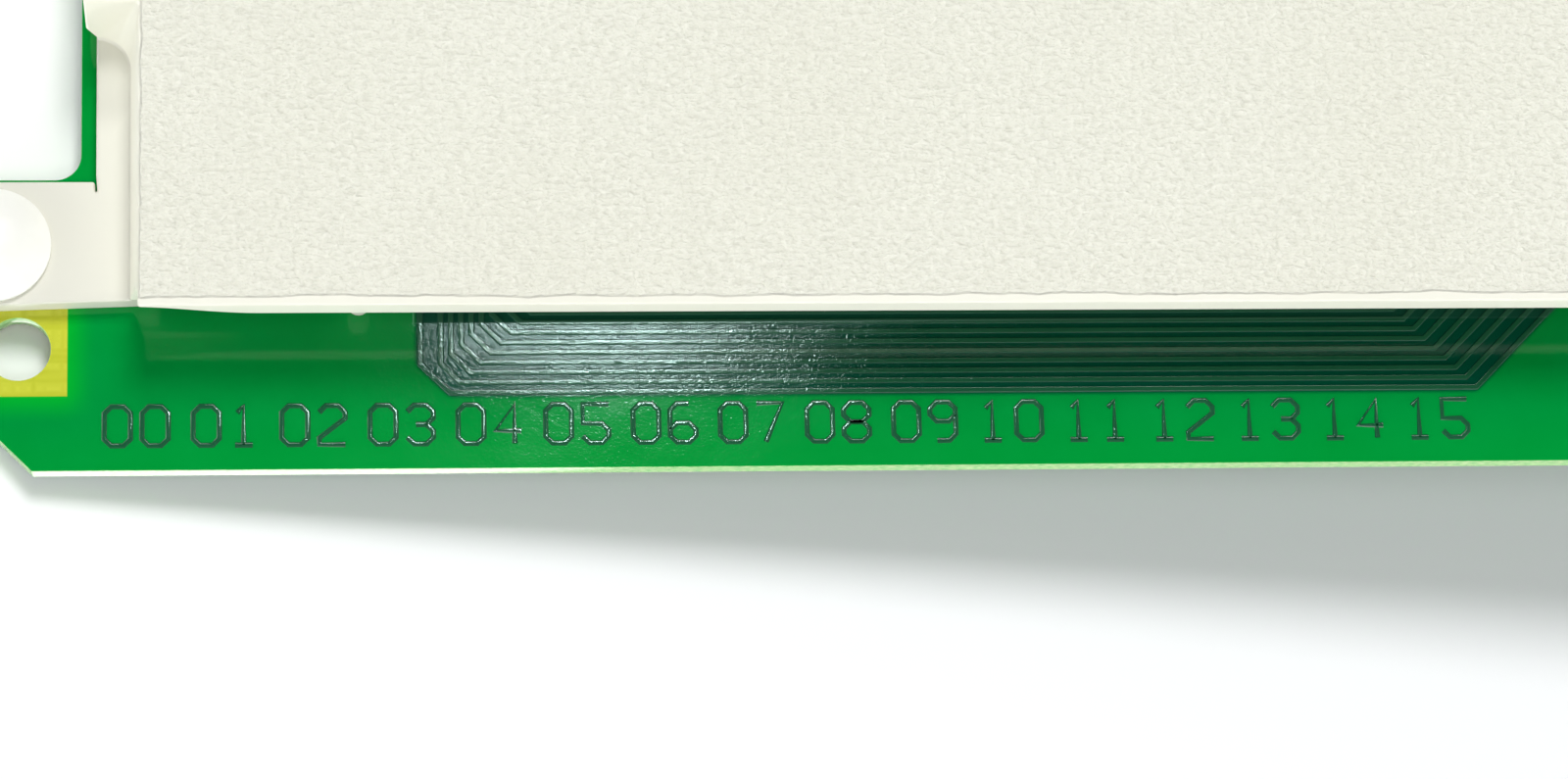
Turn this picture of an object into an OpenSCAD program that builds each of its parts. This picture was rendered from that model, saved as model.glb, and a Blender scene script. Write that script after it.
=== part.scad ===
// Rack-mounted output module of a programmable controller, lying with its solder side up.
// A bare circuit board slides into the rack on its two long edges. A moulded cover is riveted over
// its solder side, and a moulded bezel closes its front.

/* [Board] */
// Height of the board between the two edges that slide in the rack
board_height = 280; // [276:1:320]
// Thickness of the board
board_t = 1.57; // [1.2:0.01:2.4]
// How far each rear ear stands out behind the board's rear edge
ear_length = 9.7; // [9:0.1:12]
// Width of each rear ear
ear_width = 18.5; // [18:0.1:22]
// Corner cut at 45 degrees on the outer corner of each ear
ear_chamfer = 6.8; // [3:0.1:7]
// Radius in the inner corner beside each ear
notch_r = 1.6; // [0.5:0.1:4]
// Diameter of the locating hole in each ear
locating_hole_d = 3.97; // [3:0.01:4.4]
// Distance of the locating hole from the end of its ear
locating_hole_x = 5.93; // [5.5:0.01:6.5]
// Distance of the locating hole from the board's edge
locating_hole_y = 7.7; // [7:0.1:7.9]

/* [Rear contacts] */
// Width of each of the two contact tabs on the rear edge
tab_width = 76; // [50:1:90]
// Distance between the middles of the two contact tabs
tab_spacing = 108; // [100:1:120]
// How far the end of a contact tab lies inside the ends of the ears
tab_setback = 1.2; // [0.8:0.1:2.5]
// Corner cut on each contact tab
tab_chamfer = 1.5; // [0.5:0.1:3]
// Distance between the middles of two rear contacts
rear_contact_pitch = 3.96; // [3:0.01:5.08]
// Width of a rear contact
rear_contact_w = 2.4; // [1:0.1:2.8]
// Bare strip between a rear contact and the board's rear edge
rear_contact_root = 0.9; // [0.5:0.1:3]
// Thickness of the plated copper of every contact
contact_t = 0.06; // [0.04:0.01:0.2]

/* [Front contacts] */
// Distance between the middles of two front contacts
front_contact_pitch = 5.08; // [4:0.01:7]
// Width of a front contact
front_contact_w = 3.2; // [1.5:0.1:3.8]
// Length of a front contact
front_contact_l = 9; // [5:0.1:14]
// Bare margin of the board between a contact and the edge that it faces
contact_margin = 0.8; // [0.5:0.1:1.5]

/* [Solder traces] */
// Distance between the middles of two traces
trace_pitch = 0.635; // [0.5:0.001:0.9]
// Width of a trace
trace_w = 0.37; // [0.2:0.01:0.45]
// Height of a trace above the board
trace_h = 0.07; // [0.04:0.01:0.2]
// Number of traces that run side by side
trace_count = 10; // [4:1:14]
// Distance of the outermost trace from the board's edge
trace_edge = 4.8; // [4:0.1:6]
// Distance of the outermost trace's rear run from the end of the ear
trace_rear_x = 30.6; // [29:0.1:40]
// Distance from the end of the ear to where the outermost trace turns in at the front
trace_front_x = 97.1; // [80:0.1:110]
// Corner cut where a trace turns
trace_turn = 1.2; // [0.6:0.1:2]
// How far inside the cover's edge every trace ends
trace_cover_run = 7; // [5:0.5:12]

/* [Cover] */
// Distance from the end of the ear to the end of the cover
cover_setback = 0.7; // [0.2:0.1:1.2]
// Depth of the cover between its two ends
cover_depth = 150; // [140:1:152]
// Height of the cover's top above the board
cover_h = 7; // [5:0.1:9]
// Thickness of the cover's top plate
cover_plate_t = 2.1; // [1.2:0.1:2.8]
// Thickness of the cover's upright walls
cover_wall = 1.6; // [1:0.1:2.5]
// Distance of the cover's long edge from the board's edge
cover_edge = 8.65; // [8:0.05:9.2]
// Thickness of the riveted flange in each corner pocket
flange_t = 1.6; // [1:0.1:2.2]
// Free strip between the locating hole and the flange's outer corner
flange_hole_gap = 0.265; // [0.2:0.005:0.4]
// How much the flange's edge draws in between its end and the step wall
flange_slope = 0.45; // [0:0.05:0.6]
// Width of the flange between its window and the pocket's step wall
pocket_ledge = 2.1; // [2:0.01:5]
// Distance of the foot of a corner pocket's end wall from the board's edge
pocket_width = 27.2; // [24:0.05:32]
// Radius in the inner corner of a pocket, at the foot of its walls
pocket_r = 2.2; // [1:0.1:4]
// Radius in the inner corner of a pocket's rim
pocket_rim_r = 0.3; // [0.2:0.1:1]
// How much the pocket's walls lean out between the flange and the rim
pocket_draft = 0.7; // [0.1:0.1:1]
// Strip of board that shows between its rear edge and the flange's window
window_strip_x = 1; // [0.4:0.01:1.5]
// Strip of board that shows between the ear's side and the flange's window
window_strip_y = 0.56; // [0.4:0.01:1]
// Length of the relief slit in the window's inner corner
slit_l = 0.65; // [0.3:0.05:1]
// Width of the relief slit
slit_w = 0.15; // [0.1:0.01:0.3]
// How far the cover's end walls stand out past the window below them
cover_lip = 0.6; // [0.2:0.01:0.8]
// Height of the slant that leads from the window out to the end walls
lip_rise = 1.3; // [0.6:0.1:2]
// Diameter of the small posts that hold the cover's edge off the board
post_d = 1.4; // [1:0.1:2]
// Distance of a post from the cover's end
post_x = 26.1; // [22:0.1:28]
// Distance of a post from the cover's long edge
post_inset = 1.75; // [1:0.05:4]
// Length over which the cover's edge thins out beside a pocket
edge_taper_l = 8; // [4:0.5:9]
// Thickness that is left of the cover's edge at the pocket
edge_taper_t = 0.45; // [0.3:0.05:1]
// How far in from the cover's edge it thins out
edge_taper_w = 1.3; // [0.8:0.1:1.6]

/* [Rivets] */
// Diameter of a rivet's domed head
rivet_head_d = 7.1; // [6:0.1:7.2]
// Height of a rivet's domed head
rivet_head_h = 1.8; // [1.2:0.1:3]
// Height of the straight rim of the head
rivet_rim = 0.4; // [0.2:0.1:0.8]
// Diameter of a rivet's shank
rivet_shank_d = 3.8; // [2.5:0.1:4]
// Clearance round a rivet's shank
rivet_clearance = 0.05; // [0.02:0.01:0.15]
// Distance of a rivet from the cover's end
rivet_x = 3.75; // [3.6:0.05:4.5]
// Distance of a rivet from the flange's outer corner
rivet_inset = 3.88; // [3.6:0.01:4.2]

/* [Bezel] */
// Free room between the board's front edge and the bezel's front wall
front_room = 5.8; // [5:0.1:9]
// Bare strip of board between the cover and the bezel
front_strip = 7.3; // [5:0.1:12]
// How far the bezel stands out past each long edge of the board
bezel_over = 5; // [4:0.5:8]
// Height of the bezel's upper side above the solder face
solder_room = 12.43; // [12:0.01:16]
// Wall of the bezel
bezel_wall = 2.2; // [1.5:0.1:3]
// Radius of the bezel's long corners
bezel_r = 3; // [2:0.1:5]
// Bevel round the bezel's front face
bezel_bevel = 1.2; // [0.5:0.1:1.8]
// Room for the components between the board and the bezel's lower side
component_room = 21; // [20:0.5:23]
// How much of the board's depth lies inside the bezel
board_in_bezel = 20; // [17:0.5:22]
// Length of the window for the wiring plug
plug_window_l = 124; // [90:1:126]
// Height of the window for the wiring plug
plug_window_h = 19; // [14:0.5:20]
// Distance of the plug window's middle from the board's middle
plug_offset = 50; // [44:1:56]
// Diameter of the bosses that the board is screwed to
boss_d = 8; // [6:0.1:10]
// Distance of a boss from the board's front edge
boss_x = 9; // [6:0.5:12]
// Distance of a boss from the board's long edge
boss_y = 14; // [8:0.5:18]

/* [Screws] */
// Diameter of a bezel screw
screw_d = 3; // [2:0.1:4]
// Length of a bezel screw under its head
screw_l = 9; // [6:0.5:14]
// Diameter of a screw's head
screw_head_d = 5.6; // [5:0.1:7]
// Height of a screw's head
screw_head_h = 2; // [1.5:0.1:3]
// Width of the cross recess in a screw's head
screw_recess_w = 0.8; // [0.5:0.1:1.2]
// Clearance round a screw
screw_clearance = 0.1; // [0.05:0.01:0.3]

/* [Indicators] */
// Length of the indicator lens
lens_l = 92; // [80:1:100]
// Height of the indicator lens
lens_h = 9; // [6:0.5:10]
// How far the lens's flange reaches past its window
lens_flange = 2; // [1:0.1:3]
// Thickness of the lens's flange
lens_flange_t = 1.2; // [0.6:0.1:1.8]
// Clearance round the lens in its window
lens_clearance = 0.1; // [0.05:0.01:0.3]
// Free wall between the plug window and the lens's flange
lens_gap = 6; // [3:0.5:16]
// Distance between two indicator lamps
led_pitch = 10.16; // [6:0.01:11]
// Diameter of an indicator lamp
led_d = 3; // [2:0.1:4]
// Length of an indicator lamp
led_l = 6; // [4.5:0.1:7]
// Height of an indicator lamp's axis above the board
led_axis = 3.2; // [2.8:0.1:4]
// Free space between an indicator lamp and the lens
led_gap = 1.4; // [0.8:0.1:2.5]
// Thickness of an indicator lamp's leads
led_lead_t = 0.5; // [0.3:0.05:0.8]
// Distance between the two leads of an indicator lamp
led_lead_pitch = 2; // [1.2:0.01:2.54]

/* [Output channels] */
// Distance between two output channels
channel_pitch = 28; // [24:0.5:29]
// Free space between two rows of components
row_gap = 8; // [4:0.5:8.5]
// Free space between the relays and the bezel
relay_setback = 10; // [6:0.5:12]
// Length of a relay
relay_l = 19; // [15:0.1:20]
// Width of a relay
relay_w = 15.4; // [10:0.1:18]
// Height of a relay
relay_h = 15.3; // [10:0.1:16]
// Radius of a relay's upright corners
relay_r = 0.9; // [0.3:0.1:3]
// Diameter of a surge varistor
varistor_d = 9; // [7:0.1:12]
// Thickness of a surge varistor
varistor_t = 3.6; // [2.5:0.1:5]
// Height of a varistor's disc above the board
varistor_standoff = 1.2; // [0.5:0.1:3]
// Length of a fuse
fuse_l = 20; // [18:0.1:22]
// Diameter of a fuse's metal caps
fuse_cap_d = 5.2; // [4.4:0.1:6.4]
// Length of a fuse's metal caps
fuse_cap_l = 5.5; // [4.8:0.1:7]
// Thickness of a fuse's metal caps round its glass tube
fuse_cap_t = 0.25; // [0.15:0.05:0.5]
// Height of a fuse's axis above the board
fuse_axis = 4.4; // [3.9:0.1:6]
// Length of a fuse clip
clip_l = 4.4; // [3:0.1:4.8]
// Thickness of a fuse clip's sheet
clip_t = 0.5; // [0.3:0.1:0.8]
// Clearance between a fuse and its clip
clip_clearance = 0.05; // [0.02:0.01:0.2]
// Width of a fuse clip's foot
clip_foot_w = 4; // [2:0.1:5]
// How far a clip's arms reach past the middle of the fuse
clip_grip = 1.4; // [0.8:0.1:2]

/* [Logic components] */
// Distance between two pins of a dual in-line package
dip_pitch = 2.54; // [2:0.01:2.6]
// Distance between the two rows of pins of a dual in-line package
dip_row = 8; // [7.4:0.1:9]
// How far the leads of a dual in-line package stand out from its body
dip_shoulder = 0.8; // [0.6:0.1:1.2]
// Height of a dual in-line package's body
dip_body_h = 3.4; // [2.5:0.1:4]
// Height of a dual in-line package's body above the board
dip_standoff = 0.6; // [0.3:0.1:0.8]
// Body length past the outer pins of a dual in-line package
dip_end = 2; // [1.4:0.1:3]
// Width of a package's lead
dip_lead_w = 1.1; // [0.5:0.1:1.4]
// Thickness of a package's lead
dip_lead_t = 0.28; // [0.2:0.01:0.4]
// Diameter of the end notch of a package
dip_notch_d = 2; // [1:0.1:3]
// Depth of the end notch of a package
dip_notch_depth = 0.6; // [0.3:0.1:1]
// Distance between two of the logic packages
ic_pitch = 50; // [44:1:54]
// Thickness of a resistor network
network_t = 2.4; // [1.8:0.1:3]
// Height of a resistor network's body
network_h = 5; // [4:0.1:6]
// Number of pins of a resistor network
network_pins = 9; // [5:1:10]
// Height of a network's or small capacitor's body above the board
small_standoff = 0.8; // [0.4:0.1:1.2]
// Thickness of the pins of a network or a small capacitor
small_pin_t = 0.5; // [0.3:0.05:0.6]
// Length of a small capacitor
bypass_l = 5; // [3:0.1:6]
// Thickness of a small capacitor
bypass_t = 2.5; // [1.5:0.1:3]
// Height of a small capacitor's body
bypass_h = 3.6; // [2.5:0.1:4]
// Free space between a logic package and its small capacitor
bypass_gap = 3; // [2:0.5:5]
// Diameter of the filter capacitor
filter_d = 10; // [8:0.1:12]
// Height of the filter capacitor
filter_h = 12.5; // [10:0.1:13]
// Depth of the rolled groove in the filter capacitor's can
filter_groove = 0.5; // [0.2:0.1:0.8]
// Distance of the filter capacitor from the board's middle
filter_y = 0; // [-4:0.5:4]

/* [Hidden] */
$fn = 64;
// Cuts run this far past the faces that they open
past = 0.5;
// Pieces of one solid run this far into each other
embed = 0.2;
channels = 8;
networks = 4;
sides = [-1, 1];
middle_y = board_height / 2;
bezel_back_x = cover_setback + cover_depth + front_strip;
board_depth = bezel_back_x + board_in_bezel;
bezel_inside_x = board_depth + front_room;
bezel_front_x = bezel_inside_x + bezel_wall;
bezel_low_z = -board_t - component_room;
bezel_width = component_room + board_t + solder_room;
plug_window_y = middle_y - plug_offset;
lens_y = plug_window_y + plug_window_l / 2 + lens_gap + lens_flange + lens_l / 2;
cover_middle_x = cover_setback + cover_depth / 2;
window_x = ear_length + window_strip_x;
window_edge = ear_width - window_strip_y;
wall_end_x = window_x - cover_lip;
pocket_x = window_x + pocket_ledge;
plate_z = cover_h - cover_plate_t;
flange_edge = locating_hole_y + locating_hole_d / 2 + flange_hole_gap;
step_edge = flange_edge + flange_slope;
rivet_y = flange_edge + rivet_inset;
rivet_hole_d = rivet_shank_d + 2 * rivet_clearance;
screw_hole_d = screw_d + 2 * screw_clearance;
boss_at = [board_depth - boss_x, boss_y];
rivet_at = [cover_setback + rivet_x, rivet_y];
led_z = -board_t - led_axis;
fuse_glass_d = fuse_cap_d - 2 * fuse_cap_t;
dip_body_w = dip_row - 2 * dip_shoulder;
clip_inner_r = fuse_cap_d / 2 + clip_clearance;
clip_outer_r = clip_inner_r + clip_t;
network_l = network_pins * dip_pitch;
relay_row_x = bezel_back_x - relay_setback - relay_l / 2;
varistor_row_x = relay_row_x - relay_l / 2 - row_gap - varistor_t / 2;
fuse_row_x = varistor_row_x - varistor_t / 2 - row_gap - fuse_l / 2;
opto_row_x = fuse_row_x - fuse_l / 2 - row_gap - dip_row / 2;
network_row_x = opto_row_x - dip_row / 2 - row_gap - network_t / 2;
ic_row_x = network_row_x - network_t / 2 - row_gap - dip_row / 2;
function centred(i, count, pitch) = (i - (count - 1) / 2) * pitch;
function channel_y(i) = middle_y + centred(i, channels, channel_pitch);
function dip_length(pins) = (pins / 2 - 1) * dip_pitch + dip_end;
opto_pins = 6;
IC_NAMES = ["bus_buffer_ic", "address_decoder_ic", "data_latch_ic", "relay_driver_ic"];
IC_PINS = [20, 16, 20, 18];
function ic_y(i) = middle_y + centred(i, len(IC_NAMES), ic_pitch);
function numbered(name) = [for (i = [1 : channels]) str(name, "_", i)];
CHANNEL_NAMES = ["output_led", "output_relay", "surge_varistor", "output_fuse", "opto_coupler"];
BOARD_NODES = ["circuit_board", "solder_traces", "rear_contacts", "front_contacts"];
CASE_NODES = ["solder_cover", "cover_rivets", "front_bezel", "bezel_screws", "indicator_lens"];
SMALL_NODES = ["fuse_clips", "resistor_networks", "bypass_capacitors", "filter_capacitor"];
CHANNEL_NODES = [for (name = CHANNEL_NAMES) each numbered(name)];

// Colours of the finished pieces
mask_green = [0, 0.52, 0.18];
copper_green = [0.06, 0.4, 0.2];
gold = [0.83, 0.66, 0.25];
cream = [0.93, 0.92, 0.86];
nylon_white = [0.98, 0.98, 0.96];
steel = [0.72, 0.73, 0.75];
lens_red = [0.45, 0.03, 0.04];
led_red = [0.85, 0.1, 0.08];
relay_blue = [0.16, 0.25, 0.5];
varistor_blue = [0.13, 0.35, 0.66];
fuse_glass = [0.85, 0.9, 0.9];
package_black = [0.1, 0.1, 0.11];
network_tan = [0.75, 0.6, 0.3];
ceramic_brown = [0.72, 0.5, 0.25];
can_black = [0.12, 0.13, 0.2];

// The frame's origin is the middle of the module's footprint, on the plane of the bezel's lower side.
// Inside it, x runs from the ends of the ears to the front, y from one board edge to the other,
// and z stands on the solder face.
module at_board() translate([-bezel_front_x / 2, -middle_y, -bezel_low_z]) children();

// Children stand on the component face, with their own z away from the board.
module on_components(x, y) at_board() translate([x, y, -board_t]) rotate([180, 0, 0]) children();

module both_edges() {
    children();
    translate([0, board_height, 0]) mirror([0, 1, 0]) children();
}

module both_ends() {
    children();
    translate([2 * cover_middle_x, 0, 0]) mirror([1, 0, 0]) children();
}

module four_corners() both_ends() both_edges() children();

// Turns a profile drawn in x and z into a bar that runs along y.
module bar_y(from, to) translate([0, to, 0]) rotate([90, 0, 0]) linear_extrude(to - from) children();

// Turns a profile drawn in y and z into a bar that runs along x.
module bar_x(from, to) translate([from, 0, 0]) rotate([90, 0, 90]) linear_extrude(to - from) children();

module rounded_rectangle(size, r) {
    translate([-size.x / 2 + r, -size.y / 2]) square([size.x - 2 * r, size.y]);
    translate([-size.x / 2, -size.y / 2 + r]) square([size.x, size.y - 2 * r]);
    for (i = sides, j = sides) translate([i * (size.x / 2 - r), j * (size.y / 2 - r)]) circle(r);
}

// Circuit board

// One half of a contact tab, from its root to its end, on the given side of its middle
function half_tab(middle, side) =
    let (flank = middle + side * tab_width / 2)
    [[ear_length, flank], [tab_setback + tab_chamfer, flank], [tab_setback, flank - side * tab_chamfer]];
function tab_corners(middle) =
    let (upper = half_tab(middle, 1))
    concat(half_tab(middle, -1), [for (i = [len(upper) - 1 : -1 : 0]) upper[i]]);

// The rear edge, from the lower ear to the upper one, with room for the radius beside each ear
notch_x = ear_length - notch_r;
notch_y = ear_width + notch_r;
lower_ear = [[ear_chamfer, 0], [0, ear_chamfer], [0, ear_width], [notch_x, ear_width], [ear_length, notch_y]];
upper_ear = [for (i = [len(lower_ear) - 1 : -1 : 0]) [lower_ear[i].x, board_height - lower_ear[i].y]];
lower_tab = tab_corners(middle_y - tab_spacing / 2);
upper_tab = tab_corners(middle_y + tab_spacing / 2);
rear_corners = concat(lower_ear, lower_tab, upper_tab, upper_ear);

module board_outline() difference() {
    polygon(concat([[board_depth, 0]], rear_corners, [[board_depth, board_height]]));
    both_edges() translate([notch_x, notch_y]) circle(notch_r);
    both_edges() translate([locating_hole_x, locating_hole_y]) circle(d = locating_hole_d);
    four_corners() translate(rivet_at) circle(d = rivet_hole_d);
    both_edges() translate(boss_at) circle(d = screw_hole_d);
}

module circuit_board() color(mask_green) at_board() translate([0, 0, -board_t]) linear_extrude(board_t)
    board_outline();

// A row of plated contacts on both faces, side by side along y
module contact_row(count, pitch, size) for (i = [0 : count - 1], z = [0, -board_t - contact_t])
    translate([0, centred(i, count, pitch) - size.y / 2, z]) cube([size.x, size.y, contact_t]);

module rear_contacts() {
    count = floor((tab_width - 2 * tab_chamfer) / rear_contact_pitch);
    first_x = tab_setback + contact_margin;
    length = ear_length - rear_contact_root - first_x;
    color(gold) at_board() for (side = sides) translate([first_x, middle_y + side * tab_spacing / 2, 0])
        contact_row(count, rear_contact_pitch, [length, rear_contact_w]);
}

module front_contacts() {
    count = floor(plug_window_l / front_contact_pitch) - 1;
    first_x = board_depth - contact_margin - front_contact_l;
    color(gold) at_board() translate([first_x, plug_window_y, 0])
        contact_row(count, front_contact_pitch, [front_contact_l, front_contact_w]);
}

// A ribbon of one width along a line of points, with mitred corners
function heading(points, i) = (points[i + 1] - points[i]) / norm(points[i + 1] - points[i]);
function left_of(direction) = [-direction.y, direction.x];
function corner_normal(points, i) =
    let (last = len(points) - 1)
    let (before = left_of(heading(points, max(i - 1, 0))))
    let (after = left_of(heading(points, min(i, last - 1))))
    (before + after) / (1 + before * after);
function ribbon(points, width) =
    let (left = [for (i = [0 : len(points) - 1]) points[i] + corner_normal(points, i) * width / 2])
    let (right = [for (i = [len(points) - 1 : -1 : 0]) points[i] - corner_normal(points, i) * width / 2])
    concat(left, right);

// Each trace comes out from under the cover, runs along the board's edge and turns back in at 45 degrees.
// The outermost one stands a pitch further out at the rear than the others do.
function trace_path(i) =
    let (y = trace_edge + i * trace_pitch)
    let (rear_x = trace_rear_x + (i == 0 ? 0 : (i + 1) * trace_pitch))
    let (turn = i == 0 ? trace_turn + trace_pitch : trace_turn)
    let (front_x = trace_front_x - i * trace_pitch)
    let (end_y = cover_edge + trace_cover_run + i * trace_pitch)
    [[rear_x, end_y], [rear_x, y + turn], [rear_x + turn, y], [front_x, y], [front_x + end_y - y, end_y]];

module solder_traces() color(copper_green) at_board() linear_extrude(trace_h)
    for (i = [0 : trace_count - 1]) polygon(ribbon(trace_path(i), trace_w));

// Solder-side cover

module cover_plate() translate([cover_setback, cover_edge, plate_z])
    cube([cover_depth, board_height - 2 * cover_edge, cover_plate_t]);

module end_wall() translate([wall_end_x, window_edge, 0])
    cube([cover_lip + cover_wall, board_height - 2 * window_edge, plate_z + embed]);

// The flange and walls of one pocket, before the pocket is hollowed out
module pocket_block() {
    inner_x = pocket_x + cover_wall;
    inner_y = pocket_width + cover_wall;
    linear_extrude(plate_z + embed) polygon([[cover_setback, flange_edge], [inner_x, step_edge],
        [inner_x, inner_y], [cover_setback, inner_y]]);
}

// One level of a pocket's hollow, open towards the board's edge and the cover's end
module pocket_slice(z, grow, corner_r) {
    wall_x = pocket_x + grow;
    wall_y = pocket_width + grow;
    translate([-past, 0, z]) cube([wall_x + past, wall_y - corner_r, past]);
    translate([-past, 0, z]) cube([wall_x + past - corner_r, wall_y, past]);
    translate([wall_x - corner_r, wall_y - corner_r, z]) cylinder(r = corner_r, h = past);
}

module pocket_hollow() hull() {
    pocket_slice(flange_t, 0, pocket_r);
    pocket_slice(cover_h, pocket_draft, pocket_rim_r);
}

// Trims the end of the cover: the flange back to its window, and the walls above it with a slant between
module end_trim() bar_y(window_edge, board_height - window_edge)
    polygon([[-past, -past], [window_x, -past], [window_x, flange_t], [wall_end_x, flange_t + lip_rise],
        [wall_end_x, cover_h + past], [-past, cover_h + past]]);

// A narrow slit that runs on from the window's end, past its inner corner
module relief_slit() translate([window_x - slit_w / 2, window_edge - slit_l, -past])
    cube([slit_w, slit_l + past, flange_t + 2 * past]);

// Thins the overhanging edge from below towards the pocket, along half a cosine wave
module edge_thinning() {
    steps = 10;
    rise = cover_plate_t - edge_taper_t;
    wave = [for (i = [0 : steps])
        [pocket_x + edge_taper_l * i / steps, plate_z + rise * (1 + cos(180 * i / steps)) / 2]];
    foot = plate_z - past;
    bar_y(cover_edge - past, cover_edge + edge_taper_w)
        polygon(concat([[pocket_x - past, foot], [pocket_x - past, plate_z + rise]], wave,
            [[pocket_x + edge_taper_l, foot]]));
}

module solder_cover() color(cream) at_board() difference() {
    union() {
        cover_plate();
        both_ends() end_wall();
        four_corners() pocket_block();
        four_corners() translate([cover_setback + post_x, cover_edge + post_inset, 0])
            cylinder(d = post_d, h = plate_z + embed);
    }
    both_ends() end_trim();
    four_corners() pocket_hollow();
    four_corners() edge_thinning();
    four_corners() relief_slit();
    four_corners() translate([rivet_at.x, rivet_at.y, -past])
        cylinder(d = rivet_hole_d, h = flange_t + 2 * past);
}

// A shallow dome on a straight rim, standing on z = 0
module domed_head(d, h, rim) {
    rise = h - rim;
    dome_r = (d * d / 4 + rise * rise) / (2 * rise);
    cylinder(d = d, h = rim);
    intersection() {
        translate([0, 0, h - dome_r]) sphere(dome_r);
        cylinder(d = d, h = h);
    }
}

module rivet() {
    translate([0, 0, flange_t]) domed_head(rivet_head_d, rivet_head_h, rivet_rim);
    translate([0, 0, -board_t]) cylinder(d = rivet_shank_d, h = board_t + flange_t + embed);
}

module cover_rivets() color(nylon_white) at_board() four_corners() translate(rivet_at) rivet();

// Front bezel

module bezel_section(inset) {
    size = [board_height + 2 * (bezel_over - inset), bezel_width - 2 * inset];
    translate([middle_y, bezel_low_z + bezel_width / 2]) rounded_rectangle(size, max(bezel_r - inset, embed));
}

module boss() {
    foot_z = bezel_low_z + bezel_wall - embed;
    translate([boss_at.x, boss_at.y, foot_z]) cylinder(d = boss_d, h = -board_t - foot_z);
}

module lens_window(grow) translate([lens_y, led_z])
    square([lens_l + 2 * grow, lens_h + 2 * grow], center = true);

module front_bezel() color(cream) at_board() difference() {
    union() {
        difference() {
            hull() {
                bar_x(bezel_back_x, bezel_front_x - bezel_bevel) bezel_section(0);
                bar_x(bezel_back_x, bezel_front_x) bezel_section(bezel_bevel);
            }
            bar_x(bezel_back_x - past, bezel_inside_x) bezel_section(bezel_wall);
        }
        both_edges() boss();
    }
    bar_x(bezel_inside_x - past, bezel_front_x + past) translate([plug_window_y, -board_t / 2])
        square([plug_window_l, plug_window_h], center = true);
    bar_x(bezel_inside_x - past, bezel_front_x + past) lens_window(0);
    both_edges() translate([boss_at.x, boss_at.y, -board_t - screw_l])
        cylinder(d = screw_hole_d, h = screw_l + past);
}

module screw() {
    recess_l = screw_head_d / 2;
    difference() {
        domed_head(screw_head_d, screw_head_h, screw_head_h / 3);
        for (turn = [0, 90]) rotate([0, 0, turn]) translate([0, 0, screw_head_h])
            cube([recess_l, screw_recess_w, screw_head_h], center = true);
    }
    translate([0, 0, -screw_l]) cylinder(d = screw_d, h = screw_l + embed);
}

module bezel_screws() color(steel) at_board() both_edges() translate(boss_at) screw();

module indicator_lens() color(lens_red) at_board() {
    bar_x(bezel_inside_x - lens_flange_t, bezel_inside_x) lens_window(lens_flange);
    bar_x(bezel_inside_x - embed, bezel_front_x) lens_window(-lens_clearance);
}

// Components

// A lamp that looks out of the front edge, on two bent leads
module output_led(i) {
    lamp_r = led_d / 2;
    tip_x = bezel_inside_x - lens_flange_t - led_gap;
    rim_x = tip_x - led_l;
    y = lens_y + centred(i, channels, led_pitch);
    color(led_red) on_components(rim_x, y) {
        translate([0, 0, led_axis]) rotate([0, 90, 0]) {
            cylinder(r = lamp_r, h = led_l - lamp_r);
            translate([0, 0, led_l - lamp_r]) sphere(lamp_r);
            cylinder(d = led_d + led_lead_t * 2, h = led_lead_t * 2);
        }
        for (side = sides) translate([-led_lead_t * 2, side * led_lead_pitch / 2 - led_lead_t / 2, 0]) {
            translate([0, 0, led_axis - led_lead_t / 2]) cube([led_lead_t * 2 + embed, led_lead_t, led_lead_t]);
            cube([led_lead_t, led_lead_t, led_axis + led_lead_t / 2]);
        }
    }
}

module output_relay(i) color(relay_blue) on_components(relay_row_x, channel_y(i))
    linear_extrude(relay_h) rounded_rectangle([relay_l, relay_w], relay_r);

module surge_varistor(i) {
    edge_r = varistor_t / 2;
    disc_r = varistor_d / 2;
    color(varistor_blue) on_components(varistor_row_x, channel_y(i)) {
        translate([0, 0, varistor_standoff + disc_r]) rotate([0, 90, 0]) rotate_extrude() {
            translate([0, -edge_r]) square([disc_r - edge_r, varistor_t]);
            intersection() {
                translate([disc_r - edge_r, 0]) circle(edge_r);
                translate([disc_r - edge_r - embed, -edge_r]) square([edge_r + embed, varistor_t]);
            }
        }
        for (side = sides) translate([0, side * disc_r / 2, 0])
            cylinder(d = small_pin_t, h = varistor_standoff + disc_r);
    }
}

module output_fuse(i) color(fuse_glass) on_components(fuse_row_x, channel_y(i))
    translate([-fuse_l / 2, 0, fuse_axis]) rotate([0, 90, 0]) {
        translate([0, 0, embed]) cylinder(d = fuse_glass_d, h = fuse_l - 2 * embed);
        for (z = [0, fuse_l - fuse_cap_l]) translate([0, 0, z]) cylinder(d = fuse_cap_d, h = fuse_cap_l);
    }

module clip_profile() difference() {
    union() {
        translate([0, fuse_axis]) circle(clip_outer_r);
        translate([-clip_foot_w / 2, 0]) square([clip_foot_w, fuse_axis]);
    }
    translate([0, fuse_axis]) circle(clip_inner_r);
    translate([-clip_outer_r - past, fuse_axis + clip_grip])
        square([2 * (clip_outer_r + past), clip_outer_r]);
}

module fuse_clips() color(steel) for (i = [0 : channels - 1], side = sides)
    on_components(fuse_row_x + side * (fuse_l - fuse_cap_l) / 2, channel_y(i))
        bar_x(-clip_l / 2, clip_l / 2) clip_profile();

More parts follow.
